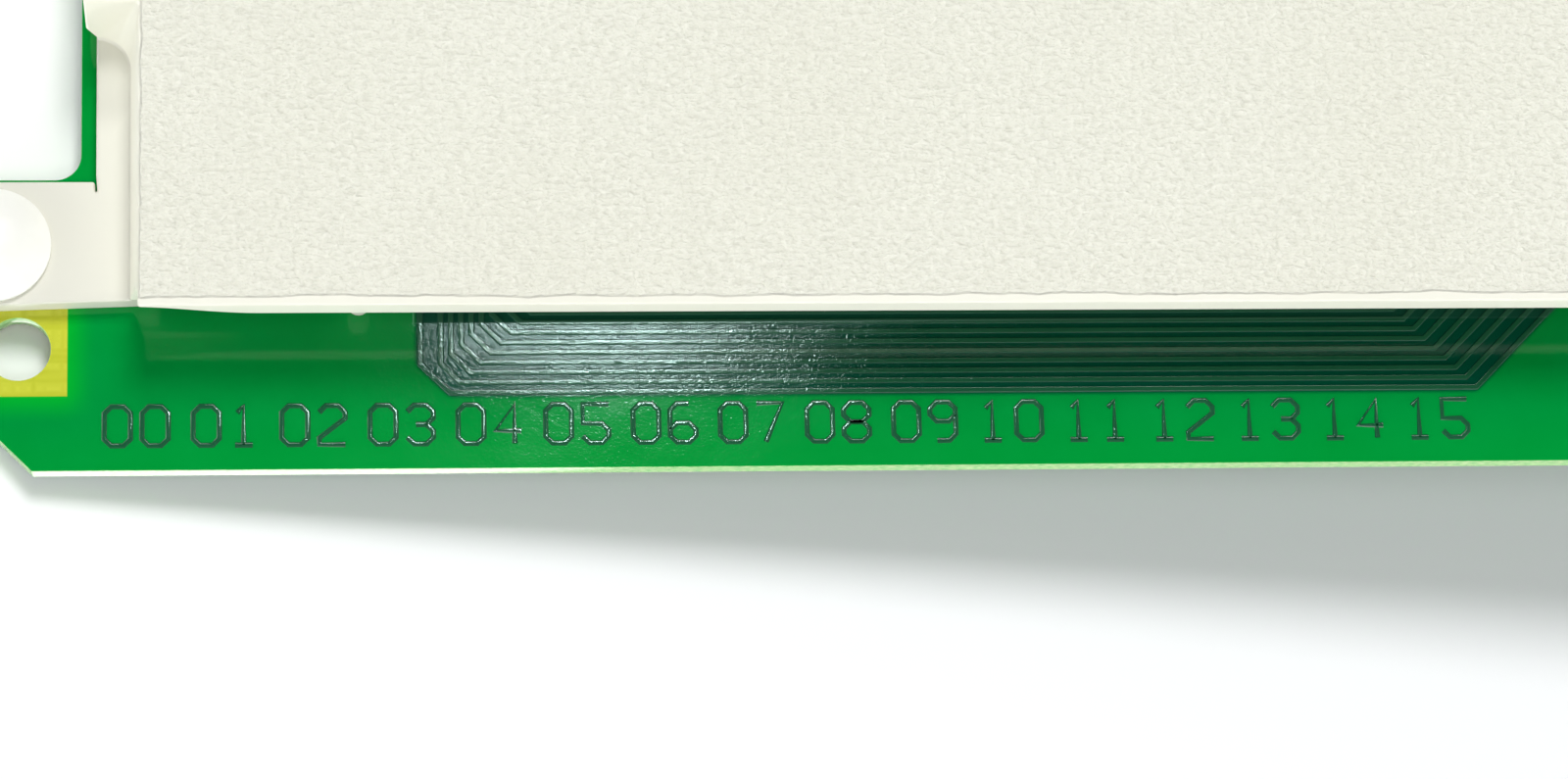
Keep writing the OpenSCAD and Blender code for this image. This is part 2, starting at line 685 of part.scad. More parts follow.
module dip_lead() {
    inner = dip_body_w / 2 - dip_lead_t;
    outer = dip_row / 2;
    low = dip_standoff + dip_body_h / 2;
    high = low + dip_lead_t;
    bend = outer - dip_lead_t;
    bar_y(-dip_lead_w / 2, dip_lead_w / 2)
        polygon([[inner, low], [bend, low], [bend, 0], [outer, 0], [outer, high], [inner, high]]);
}

// A moulded package with an end notch and two rows of bent leads
module dip_package(pins) {
    count = pins / 2;
    length = dip_length(pins);
    top = dip_standoff + dip_body_h;
    difference() {
        translate([-dip_body_w / 2, -length / 2, dip_standoff]) cube([dip_body_w, length, dip_body_h]);
        translate([0, -length / 2, top - dip_notch_depth])
            cylinder(d = dip_notch_d, h = dip_notch_depth + past);
    }
    for (turn = [0, 180], i = [0 : count - 1])
        translate([0, centred(i, count, dip_pitch), 0]) rotate([0, 0, turn]) dip_lead();
}

module logic_ic(i) color(package_black) on_components(ic_row_x, ic_y(i)) dip_package(IC_PINS[i]);

module opto_coupler(i) color(package_black) on_components(opto_row_x, channel_y(i)) dip_package(opto_pins);

// A flat body on a row of pins, along y
module pinned_body(size, pins, pitch) {
    translate([-size.x / 2, -size.y / 2, small_standoff]) cube(size);
    for (i = [0 : pins - 1])
        translate([-small_pin_t / 2, centred(i, pins, pitch) - small_pin_t / 2, 0])
            cube([small_pin_t, small_pin_t, small_standoff + embed]);
}

module resistor_networks() color(network_tan) for (i = [0 : networks - 1])
    on_components(network_row_x, middle_y + centred(i, networks, 2 * channel_pitch))
        pinned_body([network_t, network_l, network_h], network_pins, dip_pitch);

module bypass_capacitors() color(ceramic_brown) for (i = [0 : len(IC_PINS) - 1])
    on_components(ic_row_x, ic_y(i) + dip_length(IC_PINS[i]) / 2 + bypass_gap + bypass_l / 2)
        pinned_body([bypass_t, bypass_l, bypass_h], 2, bypass_l / 2);

module filter_capacitor() {
    r = filter_d / 2;
    groove_z = filter_d / 4;
    color(can_black) on_components(varistor_row_x, middle_y + filter_y) rotate_extrude() difference() {
        square([r, filter_h]);
        translate([r, groove_z]) circle(filter_groove);
        translate([r, filter_h]) circle(filter_groove);
    }
}

circuit_board();
solder_traces();
rear_contacts();
front_contacts();
solder_cover();
cover_rivets();
front_bezel();
bezel_screws();
indicator_lens();
fuse_clips();
resistor_networks();
bypass_capacitors();
filter_capacitor();
for (i = [0 : len(IC_NAMES) - 1])
    logic_ic(i);
for (i = [0 : channels - 1]) {
    output_led(i);
    output_relay(i);
    surge_varistor(i);
    output_fuse(i);
    opto_coupler(i);
}
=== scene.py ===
import math

import bmesh
import bpy
from mathutils import Matrix, Vector


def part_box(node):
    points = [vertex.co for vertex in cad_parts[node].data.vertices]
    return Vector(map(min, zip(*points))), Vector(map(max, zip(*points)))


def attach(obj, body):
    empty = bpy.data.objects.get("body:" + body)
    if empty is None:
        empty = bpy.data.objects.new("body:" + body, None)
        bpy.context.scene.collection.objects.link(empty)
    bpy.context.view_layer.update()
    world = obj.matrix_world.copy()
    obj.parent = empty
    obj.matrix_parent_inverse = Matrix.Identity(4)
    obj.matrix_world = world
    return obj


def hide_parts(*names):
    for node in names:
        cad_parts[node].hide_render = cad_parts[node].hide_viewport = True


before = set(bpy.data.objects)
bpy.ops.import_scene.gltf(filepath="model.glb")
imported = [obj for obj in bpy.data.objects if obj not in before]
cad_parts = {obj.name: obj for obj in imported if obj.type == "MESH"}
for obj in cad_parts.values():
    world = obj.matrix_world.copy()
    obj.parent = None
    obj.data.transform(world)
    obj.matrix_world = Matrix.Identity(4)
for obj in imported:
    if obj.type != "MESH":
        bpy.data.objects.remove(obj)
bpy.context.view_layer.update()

# Circuit board
# A 1.6 mm glass-epoxy board under green solder mask, cut with two ears, two contact tabs and sliding edges.
# The mask leaves a bare square round each locating hole, and the cut edges show the pale laminate.
MM = 0.001
board_low, board_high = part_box("circuit_board")
BOARD_HEIGHT = (board_high.y - board_low.y) / MM
LOCATING_HOLE = (5.93, 7.7)
BARE_HALF = 3.0
FLAT_ANGLE = math.radians(0.6)
CORNER_ANGLE = math.radians(28)
SMOOTH_ANGLE = math.radians(34)
MERGE_DISTANCE = 0.002 * MM


def on_board(x, y, z=0.0):
    """A point given in millimetres from the board's rear lower corner, z out of the solder side."""
    return Vector((board_low.x + x * MM, board_low.y + y * MM, board_high.z + z * MM))


def added(name, mesh):
    """A new object at the origin, linked to the scene."""
    piece = bpy.data.objects.new(name, mesh)
    bpy.context.scene.collection.objects.link(piece)
    return piece


def settled(piece):
    """Turns what the piece's modifiers make into its own plain mesh, smooth but for its sharp corners."""
    graph = bpy.context.evaluated_depsgraph_get()
    mesh = bpy.data.meshes.new_from_object(piece.evaluated_get(graph))
    piece.modifiers.clear()
    piece.data = mesh
    if not mesh.has_custom_normals:
        mesh.polygons.foreach_set("use_smooth", [True] * len(mesh.polygons))
        mesh.set_sharp_from_angle(angle=SMOOTH_ANGLE)
    return piece


def evened(piece):
    """Keeps the flats of a smooth piece flat beside its small radii."""
    modifier = piece.modifiers.new("flat faces", "WEIGHTED_NORMAL")
    modifier.weight = 100
    modifier.keep_sharp = True
    return settled(piece)


def softened(node_name, name, radius, segments=2, merge=MERGE_DISTANCE):
    """A copy of a CAD solid whose corners are broken by a small radius, with flats that stay flat."""
    shape = bmesh.new()
    shape.from_mesh(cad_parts[node_name].data)
    bmesh.ops.remove_doubles(shape, verts=shape.verts, dist=merge)
    bmesh.ops.dissolve_limit(shape, angle_limit=FLAT_ANGLE, verts=shape.verts, edges=shape.edges)
    mesh = bpy.data.meshes.new(name)
    shape.to_mesh(mesh)
    shape.free()
    mesh.polygons.foreach_set("use_smooth", [True] * len(mesh.polygons))
    piece = added(name, mesh)
    bevel = piece.modifiers.new("corner radius", "BEVEL")
    bevel.limit_method = "ANGLE"
    bevel.angle_limit = CORNER_ANGLE
    bevel.width = radius * MM
    bevel.segments = segments
    bevel.use_clamp_overlap = False
    return evened(piece)


def carried(piece, slot, *nodes):
    """The piece rides with the module and stands for the nodes, which it hides; its slot is not used."""
    if nodes:
        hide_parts(*nodes)
    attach(piece, "root")
    return piece


def linear(red, green, blue):
    """A colour on the usual 0 to 255 scale as the linear colour that a shader takes."""
    def channel(value):
        share = value / 255
        return share / 12.92 if share <= 0.04045 else ((share + 0.055) / 1.055) ** 2.4
    return channel(red), channel(green), channel(blue), 1.0


def node(tree, kind, inputs=(), **settings):
    """Adds a node to a tree, with its settings and with values or links on its inputs."""
    made = tree.nodes.new(kind)
    for key, value in settings.items():
        setattr(made, key, value)
    for key, value in dict(inputs).items():
        if isinstance(value, bpy.types.NodeSocket):
            tree.links.new(value, made.inputs[key])
        else:
            made.inputs[key].default_value = value
    return made


def worked(tree, operation, first, second=0.0):
    return node(tree, "ShaderNodeMath", {0: first, 1: second}, operation=operation).outputs[0]


def eased(tree, value, start, end):
    """Goes smoothly from 0 at start to 1 at end."""
    sockets = {"Value": value, "From Min": start, "From Max": end}
    return node(tree, "ShaderNodeMapRange", sockets, interpolation_type="SMOOTHSTEP").outputs["Result"]


def spread(tree, value, low, high):
    """Takes a noise value between a low and a high level."""
    sockets = {"Value": value, "From Min": 0.3, "From Max": 0.7, "To Min": low, "To Max": high}
    return node(tree, "ShaderNodeMapRange", sockets).outputs["Result"]


def blended(tree, share, first, second):
    sockets = {0: share, 6: first, 7: second}
    return node(tree, "ShaderNodeMix", sockets, data_type="RGBA").outputs[2]


def noise(tree, place, grain, detail=2.0, stretch=(1.0, 1.0, 1.0)):
    """Noise whose lumps are about grain millimetres across, in the module's own coordinates."""
    scale = [share / (grain * MM) for share in stretch]
    moved = node(tree, "ShaderNodeMapping", {"Vector": place, "Scale": scale}).outputs[0]
    return node(tree, "ShaderNodeTexNoise", {"Vector": moved, "Scale": 1.0, "Detail": detail}).outputs[0]


def raised(tree, height, depth, below=None):
    """A bump whose full height is depth millimetres, over another bump where one is given."""
    sockets = {"Height": height, "Distance": depth * MM, "Strength": 1.0}
    if below is not None:
        sockets["Normal"] = below
    return node(tree, "ShaderNodeBump", sockets).outputs[0]


def finish(name, colour, roughness, **constants):
    """A material with a principled shader, and where on the module a point of it lies."""
    material = bpy.data.materials.new(name)
    material.use_nodes = True
    tree = material.node_tree
    shader = tree.nodes["Principled BSDF"]
    shader.inputs["Base Color"].default_value = colour
    shader.inputs["Roughness"].default_value = roughness
    for key, value in constants.items():
        shader.inputs[key.replace("_", " ")].default_value = value
    place = node(tree, "ShaderNodeTexCoord").outputs["Object"]
    return material, tree, shader, place


def linked(tree, shader, **sockets):
    for key, socket in sockets.items():
        tree.links.new(socket, shader.inputs[key.replace("_", " ").title()])


def board_millimetres(tree, place):
    """The place in millimetres from the board's rear lower corner, split into x, y and z."""
    corner = Vector((board_low.x, board_low.y, board_high.z)) / MM
    sockets = {"Vector": place, "Location": -corner, "Scale": (1 / MM,) * 3}
    moved = node(tree, "ShaderNodeMapping", sockets).outputs[0]
    return node(tree, "ShaderNodeSeparateXYZ", {0: moved}).outputs


def within(tree, value, middle, half, soft):
    """1 where a value lies within half of the middle, with a soft border."""
    away = worked(tree, "ABSOLUTE", worked(tree, "SUBTRACT", value, middle))
    return eased(tree, away, half + soft / 2, half - soft / 2)


def facing_up(tree):
    """How far the surface looks up: 1 on a top face, 0 on an upright one."""
    normal = node(tree, "ShaderNodeNewGeometry").outputs["Normal"]
    return node(tree, "ShaderNodeSeparateXYZ", {0: normal}).outputs[2]


MASK_CLOUD_GRAIN = 5.0
MASK_CRACKLE_GRAIN = 0.15
MASK_CRACKLE_DEPTH = 0.0046
MASK_CRACKLE_ON_FLAT = 0.5
MASK_RIPPLE_GRAIN = 1.6
MASK_RIPPLE_DEPTH = 0.004
DUST_EDGE = 9.15
DUST_FADE = 0.3
DUST_ROUGHNESS = (0.88, 0.91)
SHINE_GAIN = 0.84


def mask_surface(tree, shader, place, copper):
    """Cured mask: slow clouds and ripples in the gloss, and a crackle that is strong where copper lies under it.

    Over copper it is dull with dust just along the cover's edge.
    """
    clouds = noise(tree, place, MASK_CLOUD_GRAIN, 3.0)
    crackle = noise(tree, place, MASK_CRACKLE_GRAIN, 3.0)
    ripple = noise(tree, place, MASK_RIPPLE_GRAIN, 2.0)
    sockets = {"Value": copper, "To Min": MASK_CRACKLE_ON_FLAT, "To Max": 1.0}
    share = node(tree, "ShaderNodeMapRange", sockets).outputs["Result"]
    free = eased(tree, board_millimetres(tree, place)[1], DUST_EDGE + DUST_FADE, DUST_EDGE)
    crackle = worked(tree, "MULTIPLY", worked(tree, "MULTIPLY", crackle, share), free)
    normal = raised(tree, crackle, MASK_CRACKLE_DEPTH, raised(tree, ripple, MASK_RIPPLE_DEPTH))
    shine = worked(tree, "MAXIMUM", free, worked(tree, "SUBTRACT", 1.0, copper))
    gain = worked(tree, "MULTIPLY", shine, SHINE_GAIN)
    gloss = worked(tree, "SUBTRACT", spread(tree, clouds, *DUST_ROUGHNESS), gain)
    linked(tree, shader, roughness=gloss, normal=normal)
    return clouds


MASK_GREEN = linear(0, 147, 63)
MASK_DEEP = linear(0, 136, 51)
# Painted glow of the light that the laminate passes in.
MASK_EDGE_GLOW = linear(4, 178, 42)
# Painted shade for the narrow gaps between the traces.
MASK_SHADE_BETWEEN_TRACES = linear(0, 58, 48)
NOTCH_DEPTH = 9.7
NOTCH_FOOT = 18.5
EDGE_GLOW_REACH = 4.0
EDGE_GLOW_SHARE = 0.15
SQUARE_GLOW = 0.6
SQUARE_GLOW_FADE = 2.6
BARE_BORDER = 0.06
BARE_LAMINATE = linear(204, 209, 70)
BARE_FIBRE = linear(188, 195, 54)
CUT_LAMINATE = linear(196, 226, 160)
CUT_RESIN = linear(120, 200, 110)
FIBRE_GRAIN = 0.5
FIBRE_STRETCH = 0.08
BOARD_EDGE_RADIUS = 0.06
TRACE_EDGE = 4.8
TRACE_REAR = 30.6
TRACE_FRONT = 97.1
TRACE_CORNER = 37.2
TRACE_COVERED = 12.0
TRACE_HALF_BORDER = 0.1
TRACE_FADE = 0.5
TRACE_LEAN_FADE = 0.6
TRACE_SHADE = 0.9


def solder_mask():
    material, tree, shader, place = finish("solder_mask_green", MASK_GREEN, 0.25, IOR=1.36)
    x, y, z = board_millimetres(tree, place)
    edge_y = worked(tree, "MINIMUM", y, worked(tree, "SUBTRACT", BOARD_HEIGHT, y))
    # Painted shade darkens the mask between the traces, on the solder face only and no further in than the cover
    # hides.
    over = eased(tree, y, TRACE_EDGE - TRACE_FADE, TRACE_EDGE - TRACE_HALF_BORDER)
    behind = eased(tree, x, TRACE_REAR - TRACE_FADE, TRACE_REAR - TRACE_HALF_BORDER)
    corner = worked(tree, "ADD", x, y)
    turned_in = eased(tree, corner, TRACE_CORNER - TRACE_LEAN_FADE, TRACE_CORNER - TRACE_HALF_BORDER)
    lean = worked(tree, "SUBTRACT", x, y)
    lean_end = TRACE_FRONT - TRACE_EDGE
    before = eased(tree, lean, lean_end + TRACE_LEAN_FADE, lean_end + TRACE_HALF_BORDER)
    covered = eased(tree, y, TRACE_COVERED + 1.0, TRACE_COVERED)
    copper = eased(tree, z, -0.3, -0.1)
    for share in (over, behind, turned_in, before, covered):
        copper = worked(tree, "MULTIPLY", copper, share)
    clouds = mask_surface(tree, shader, place, copper)
    green = blended(tree, clouds, MASK_DEEP, MASK_GREEN)
    # Painted glow along the edges and round the bare squares stands in for light that the thin laminate passes
    # in; the painted shade between the traces stands in for the light that copper keeps out.
    notch = worked(tree, "MULTIPLY", eased(tree, edge_y, NOTCH_FOOT - 0.1, NOTCH_FOOT + 0.1), NOTCH_DEPTH)
    edge = worked(tree, "MINIMUM", edge_y, worked(tree, "SUBTRACT", x, notch))
    glow = worked(tree, "MULTIPLY", eased(tree, edge, EDGE_GLOW_REACH, 0.0), EDGE_GLOW_SHARE)
    lit_x = within(tree, x, LOCATING_HOLE[0], BARE_HALF + SQUARE_GLOW, SQUARE_GLOW_FADE)
    lit_y = within(tree, edge_y, LOCATING_HOLE[1], BARE_HALF + SQUARE_GLOW, SQUARE_GLOW_FADE)
    glow = worked(tree, "MAXIMUM", glow, worked(tree, "MULTIPLY", lit_x, lit_y))
    green = blended(tree, glow, green, MASK_EDGE_GLOW)
    # Painted shade: the gaps between the traces take the darker colour.
    green = blended(tree, worked(tree, "MULTIPLY", copper, TRACE_SHADE), green, MASK_SHADE_BETWEEN_TRACES)
    fibre_x = noise(tree, place, FIBRE_GRAIN, 1.0, (1.0, FIBRE_STRETCH, 1.0))
    fibre_y = noise(tree, place, FIBRE_GRAIN, 1.0, (FIBRE_STRETCH, 1.0, 1.0))
    weave = spread(tree, worked(tree, "MAXIMUM", fibre_x, fibre_y), 0.0, 1.0)
    bare_x = within(tree, x, LOCATING_HOLE[0], BARE_HALF, BARE_BORDER)
    bare_y = within(tree, edge_y, LOCATING_HOLE[1], BARE_HALF, BARE_BORDER)
    bare = worked(tree, "MULTIPLY", bare_x, bare_y)
    laminate = blended(tree, weave, BARE_LAMINATE, BARE_FIBRE)
    face = blended(tree, bare, green, laminate)
    side = eased(tree, worked(tree, "ABSOLUTE", facing_up(tree)), 0.75, 0.35)
    streaks = spread(tree, noise(tree, place, FIBRE_GRAIN, 2.0, (1.0, 1.0, 2.5)), 0.0, 1.0)
    cut = blended(tree, streaks, CUT_LAMINATE, CUT_RESIN)
    linked(tree, shader, base_color=blended(tree, side, face, cut))
    return material


board_piece = softened("circuit_board", "board_blank", BOARD_EDGE_RADIUS)
board_piece.data.materials.clear()
board_piece.data.materials.append(solder_mask())
carried(board_piece, "solder_mask", "circuit_board")

# Solder-side traces
# Ten etched copper tracks under the mask, which stands up over them in rounded ridges.
# They come out from under the cover, run along the sliding edge and turn back in at 45 degrees.
TRACE_PITCH = 0.635
TRACE_CREST = 0.31
TRACE_FOOT = 0.49
TRACE_HEIGHT = 0.07
TRACE_COUNT = 10
TRACE_TURN = 1.2
TRACE_END = 15.65
RIDGE_RADIUS = 0.06
MASK_OVER_COPPER = linear(30, 92, 60)
COPPER_CLOUD_SHADE = 0.75


def trace_points(i):
    """The corners of trace i, counted from the sliding edge. The first stands clear of the others at the rear."""
    y = TRACE_EDGE + i * TRACE_PITCH
    rear = TRACE_REAR + (0 if i == 0 else (i + 1) * TRACE_PITCH)
    turn = TRACE_TURN + (TRACE_PITCH if i == 0 else 0)
    front = TRACE_FRONT - i * TRACE_PITCH
    end = TRACE_END + i * TRACE_PITCH
    return [(rear, end), (rear, y + turn), (rear + turn, y), (front, y), (front + end - y, end)]


def path_mesh(name, paths):
    """Lines on the solder face, each through its points. A line whose ends meet is closed."""
    corners, edges = [], []
    for points in paths:
        closed = points[0] == points[-1]
        points = points[:-1] if closed else points
        first = len(corners)
        corners += [on_board(x, y) for x, y in points]
        edges += [(first + i, first + i + 1) for i in range(len(points) - 1)]
        if closed:
            edges.append((len(corners) - 1, first))
    mesh = bpy.data.meshes.new(name)
    mesh.from_pydata(corners, edges, [])
    return mesh


def geometry_tree(name, sizes):
    """A Geometry Nodes tree with its input node, one named input for each size, and its output node."""
    tree = bpy.data.node_groups.new(name, "GeometryNodeTree")
    tree.interface.new_socket("Geometry", in_out="INPUT", socket_type="NodeSocketGeometry")
    for label in sizes:
        tree.interface.new_socket(label, in_out="INPUT", socket_type="NodeSocketFloat")
    tree.interface.new_socket("Geometry", in_out="OUTPUT", socket_type="NodeSocketGeometry")
    return tree, tree.nodes.new("NodeGroupInput"), tree.nodes.new("NodeGroupOutput")


def grown(piece, tree, sizes, material):
    """Runs a tree on a piece with the sizes given in millimetres, and keeps the plain mesh."""
    modifier = piece.modifiers.new(tree.name, "NODES")
    modifier.node_group = tree
    sockets = {item.name: item.identifier for item in tree.interface.items_tree if item.in_out == "INPUT"}
    for label, size in sizes.items():
        modifier[sockets[label]] = size * MM
    settled(piece)
    piece.data.materials.clear()
    piece.data.materials.append(material)
    return piece


def ended(tree, geometry, material, output):
    whole = node(tree, "GeometryNodeRealizeInstances", {0: geometry}).outputs[0]
    dressed = node(tree, "GeometryNodeSetMaterial", {"Geometry": whole, "Material": material}).outputs[0]
    tree.links.new(dressed, output.inputs[0])


def ridges(name, paths, sizes, material):
    """Rounded ridges of mask that follow the paths on the solder face."""
    tree, start, output = geometry_tree("ridge_along_a_path", sizes)
    line = node(tree, "GeometryNodeMeshToCurve", {0: start.outputs["Geometry"]}).outputs[0]
    # The section's lower side comes to lie on top, because it hangs from the upright line.
    upright = node(tree, "GeometryNodeSetCurveNormal", {0: line}, mode="Z_UP").outputs[0]
    double = worked(tree, "MULTIPLY", start.outputs["Ridge Height"], 2.0)
    widths = {"Bottom Width": start.outputs["Ridge Crest"], "Top Width": start.outputs["Ridge Foot"]}
    block = node(tree, "GeometryNodeCurvePrimitiveQuadrilateral", {"Height": double, "Offset": 0.0, **widths},
                 mode="TRAPEZOID").outputs[0]
    rise = node(tree, "ShaderNodeSeparateXYZ", {0: node(tree, "GeometryNodeInputPosition").outputs[0]}).outputs[1]
    upper = worked(tree, "MULTIPLY", worked(tree, "LESS_THAN", rise, 0.0), start.outputs["Ridge Radius"])
    section = node(tree, "GeometryNodeFilletCurve", {"Curve": block, "Count": 4, "Radius": upper},
                   mode="POLY").outputs[0]
    ridge = node(tree, "GeometryNodeCurveToMesh",
                 {"Curve": upright, "Profile Curve": section, "Fill Caps": True}).outputs[0]
    clean = node(tree, "GeometryNodeMergeByDistance", {0: ridge, "Distance": MERGE_DISTANCE}).outputs[0]
    ended(tree, clean, material, output)
    return evened(grown(added(name, path_mesh(name, paths)), tree, sizes, material))


def masked_copper():
    material, tree, shader, place = finish("mask_over_copper", MASK_OVER_COPPER, 0.25, IOR=1.5)
    clouds = mask_surface(tree, shader, place, 1.0)
    deep = [share * COPPER_CLOUD_SHADE for share in MASK_OVER_COPPER[:3]] + [1.0]
    top = blended(tree, clouds, deep, MASK_OVER_COPPER)
    # Painted shade: the ridges' sideways-facing sides take the darker colour of the gaps between the traces.
    shaded_flank = eased(tree, facing_up(tree), 0.85, 0.4)
    linked(tree, shader, base_color=blended(tree, shaded_flank, top, MASK_SHADE_BETWEEN_TRACES))
    return material


copper_finish = masked_copper()
ridge_sizes = {"Ridge Crest": TRACE_CREST, "Ridge Foot": TRACE_FOOT, "Ridge Height": TRACE_HEIGHT,
               "Ridge Radius": RIDGE_RADIUS}
trace_piece = ridges("trace_bundle", [trace_points(i) for i in range(TRACE_COUNT)], ridge_sizes, copper_finish)
carried(trace_piece, "masked_copper", "solder_traces")

# Channel numbers
# Plain numbers from 00 to 15 etched in the copper along the sliding edge, in strokes of one width.
# The mask runs over them as it does over the traces, so they stand up as soft dark ridges.
NUMBER_COUNT = 16
NUMBER_FIRST = 11.2
NUMBER_PITCH = 5.42
NUMBER_LOW = 1.56
DIGIT_HEIGHT = 2.46
DIGIT_WIDTH = 1.6
DIGIT_STEP = 2.3
DIGIT_CORNER = 0.42
STROKE_CREST = 0.2
STROKE_FOOT = 0.5
STROKE_HEIGHT = 0.06
STROKE_RADIUS = RIDGE_RADIUS * 0.9


def digit_strokes(digit):
    """The strokes of a digit on a field as wide and high as a digit, with cut corners."""
    w, h, c = DIGIT_WIDTH, DIGIT_HEIGHT, DIGIT_CORNER
    m = h / 2
    ring = [(c, 0), (w - c, 0), (w, c), (w, h - c), (w - c, h), (c, h), (0, h - c), (0, c), (c, 0)]
    top_hook = [(0, h - c), (c, h), (w - c, h), (w, h - c), (w, m + c), (w - c, m)]
    foot_hook = [(w - c, m), (w, m - c), (w, c), (w - c, 0), (c, 0), (0, c)]
    upper_ring = [(c, m), (w - c, m), (w, m + c), (w, h - c), (w - c, h), (c, h), (0, h - c), (0, m + c), (c, m)]
    lower_ring = [(w - x, h - y) for x, y in upper_ring]
    return {
        "0": [ring],
        "1": [[(w / 4, h - c), (w / 2, h), (w / 2, 0)], [(w / 6, 0), (w * 5 / 6, 0)]],
        "2": [top_hook[:-1] + [(0, c), (0, 0), (w, 0)]],
        "3": [top_hook, [(w / 3, m), (w - c, m)], foot_hook],
        "4": [[(w * 3 / 4, 0), (w * 3 / 4, h), (0, m - c), (w, m - c)]],
        "5": [[(w, h), (0, h), (0, m), (w - c, m)] + foot_hook[1:]],
        "6": [[(w - c, h), (c, h), (0, h - c), (0, m - c)], lower_ring],
        "7": [[(0, h), (w, h), (w / 3, 0)]],
        "8": [upper_ring, lower_ring],
        "9": [upper_ring, [(w, m + c), (w, c), (w - c, 0), (c, 0)]],
    }[digit]


def number_paths():
    paths = []
    for number in range(NUMBER_COUNT):
        for place, digit in enumerate(f"{number:02d}"):
            left = NUMBER_FIRST + number * NUMBER_PITCH + place * DIGIT_STEP
            paths += [[(left + x, NUMBER_LOW + y) for x, y in stroke] for stroke in digit_strokes(digit)]
    return paths


stroke_sizes = {"Ridge Crest": STROKE_CREST, "Ridge Foot": STROKE_FOOT, "Ridge Height": STROKE_HEIGHT,
                "Ridge Radius": STROKE_RADIUS}
number_piece = ridges("channel_numbers", number_paths(), stroke_sizes, copper_finish)
carried(number_piece, "masked_copper")

# Contact fingers
# Gold-plated copper fingers on both faces: two rear rows that plug into the rack, and one front row for the
# wiring plug. Each is a thin plate with rounded corners, polished lengthwise by use.
FINGER_THICKNESS = 0.06
FINGER_RADIUS = 0.35
rear_low, rear_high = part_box("rear_contacts")
front_low, front_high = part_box("front_contacts")
REAR_PITCH, REAR_WIDTH, REAR_COUNT, TAB_SPACING = 3.96, 2.4, 18, 108.0
FRONT_PITCH, FRONT_WIDTH, FRONT_COUNT = 5.08, 3.2, 23


def gold_plating():
    material, tree, shader, place = finish("gold_plating", linear(226, 186, 98), 0.22, Metallic=1.0)
    rubbed = noise(tree, place, 0.25, 3.0, (0.05, 1.0, 1.0))
    tint = blended(tree, rubbed, linear(232, 194, 108), linear(206, 160, 76))
    linked(tree, shader, base_color=tint, roughness=spread(tree, rubbed, 0.16, 0.34),
           normal=raised(tree, rubbed, 0.004))
    return material


def finger_rows(name, length, width, centres, material):
    """Rounded plates on both faces of the board at the centres, which lie on the solder face."""
    sizes = {"Finger Length": length, "Finger Width": width, "Corner Radius": FINGER_RADIUS,
             "Thickness": FINGER_THICKNESS}
    tree, start, output = geometry_tree("contact_fingers", sizes)
    plate = node(tree, "GeometryNodeCurvePrimitiveQuadrilateral",
                 {"Width": start.outputs["Finger Length"], "Height": start.outputs["Finger Width"]}).outputs[0]
    outline = node(tree, "GeometryNodeFilletCurve",
                   {"Curve": plate, "Count": 4, "Radius": start.outputs["Corner Radius"]}, mode="POLY").outputs[0]
    face = node(tree, "GeometryNodeFillCurve", {"Curve": outline}, mode="NGONS").outputs[0]
    thickness = start.outputs["Thickness"]
    rise = node(tree, "GeometryNodeExtrudeMesh", {"Mesh": face, "Offset Scale": thickness}).outputs[0]
    foot = node(tree, "GeometryNodeFlipFaces", {0: face}).outputs[0]
    joined = node(tree, "GeometryNodeJoinGeometry")
    tree.links.new(rise, joined.inputs[0])
    tree.links.new(foot, joined.inputs[0])
    sockets = {0: joined.outputs[0], "Distance": MERGE_DISTANCE}
    finger = node(tree, "GeometryNodeMergeByDistance", sockets).outputs[0]
    sockets = {"Points": start.outputs["Geometry"], "Instance": finger}
    rows = node(tree, "GeometryNodeInstanceOnPoints", sockets).outputs[0]
    ended(tree, rows, material, output)
    mesh = bpy.data.meshes.new(name)
    under = board_low.z - board_high.z - FINGER_THICKNESS * MM
    mesh.from_pydata(centres + [c + Vector((0, 0, under)) for c in centres], [], [])
    return grown(added(name, mesh), tree, sizes, material)


def row_centres(x, middle, count, pitch):
    return [on_board(x, middle + (i - (count - 1) / 2) * pitch) for i in range(count)]


gold_finish = gold_plating()
rear_x = (rear_low.x + rear_high.x) / 2 / MM - board_low.x / MM
front_x = (front_low.x + front_high.x) / 2 / MM - board_low.x / MM
front_y = (front_low.y + front_high.y) / 2 / MM - board_low.y / MM
rear_centres = [c for side in (-1, 1)
                for c in row_centres(rear_x, BOARD_HEIGHT / 2 + side * TAB_SPACING / 2, REAR_COUNT, REAR_PITCH)]
front_centres = row_centres(front_x, front_y, FRONT_COUNT, FRONT_PITCH)
rear_length = (rear_high.x - rear_low.x) / MM
front_length = (front_high.x - front_low.x) / MM
rear_piece = finger_rows("rear_fingers", rear_length, REAR_WIDTH, rear_centres, gold_finish)
front_piece = finger_rows("front_fingers", front_length, FRONT_WIDTH, front_centres, gold_finish)
carried(rear_piece, "contact_plating", "rear_contacts")
carried(front_piece, "contact_plating", "front_contacts")

# Logic packages and opto couplers
# Moulded black epoxy bodies with an end notch, on two rows of tinned leads that are soldered to the board.
# The epoxy is matt from its mould, and the leads carry a soft drawn sheen.
PACKAGE_NODES = ["bus_buffer_ic", "address_decoder_ic", "data_latch_ic", "relay_driver_ic"]
CHANNELS = range(1, 9)
DIP_SHOULDER = 0.8
DIP_CORNER_RADIUS = 0.1


def moulded_epoxy():
    material, tree, shader, place = finish("moulded_epoxy", linear(34, 34, 36), 0.55)
    grain = noise(tree, place, 0.12, 2.0)
    patch = noise(tree, place, 4.0, 2.0)
    linked(tree, shader, base_color=blended(tree, patch, linear(28, 28, 30), linear(44, 44, 46)),
           roughness=spread(tree, patch, 0.48, 0.62), normal=raised(tree, grain, 0.012))
    return material


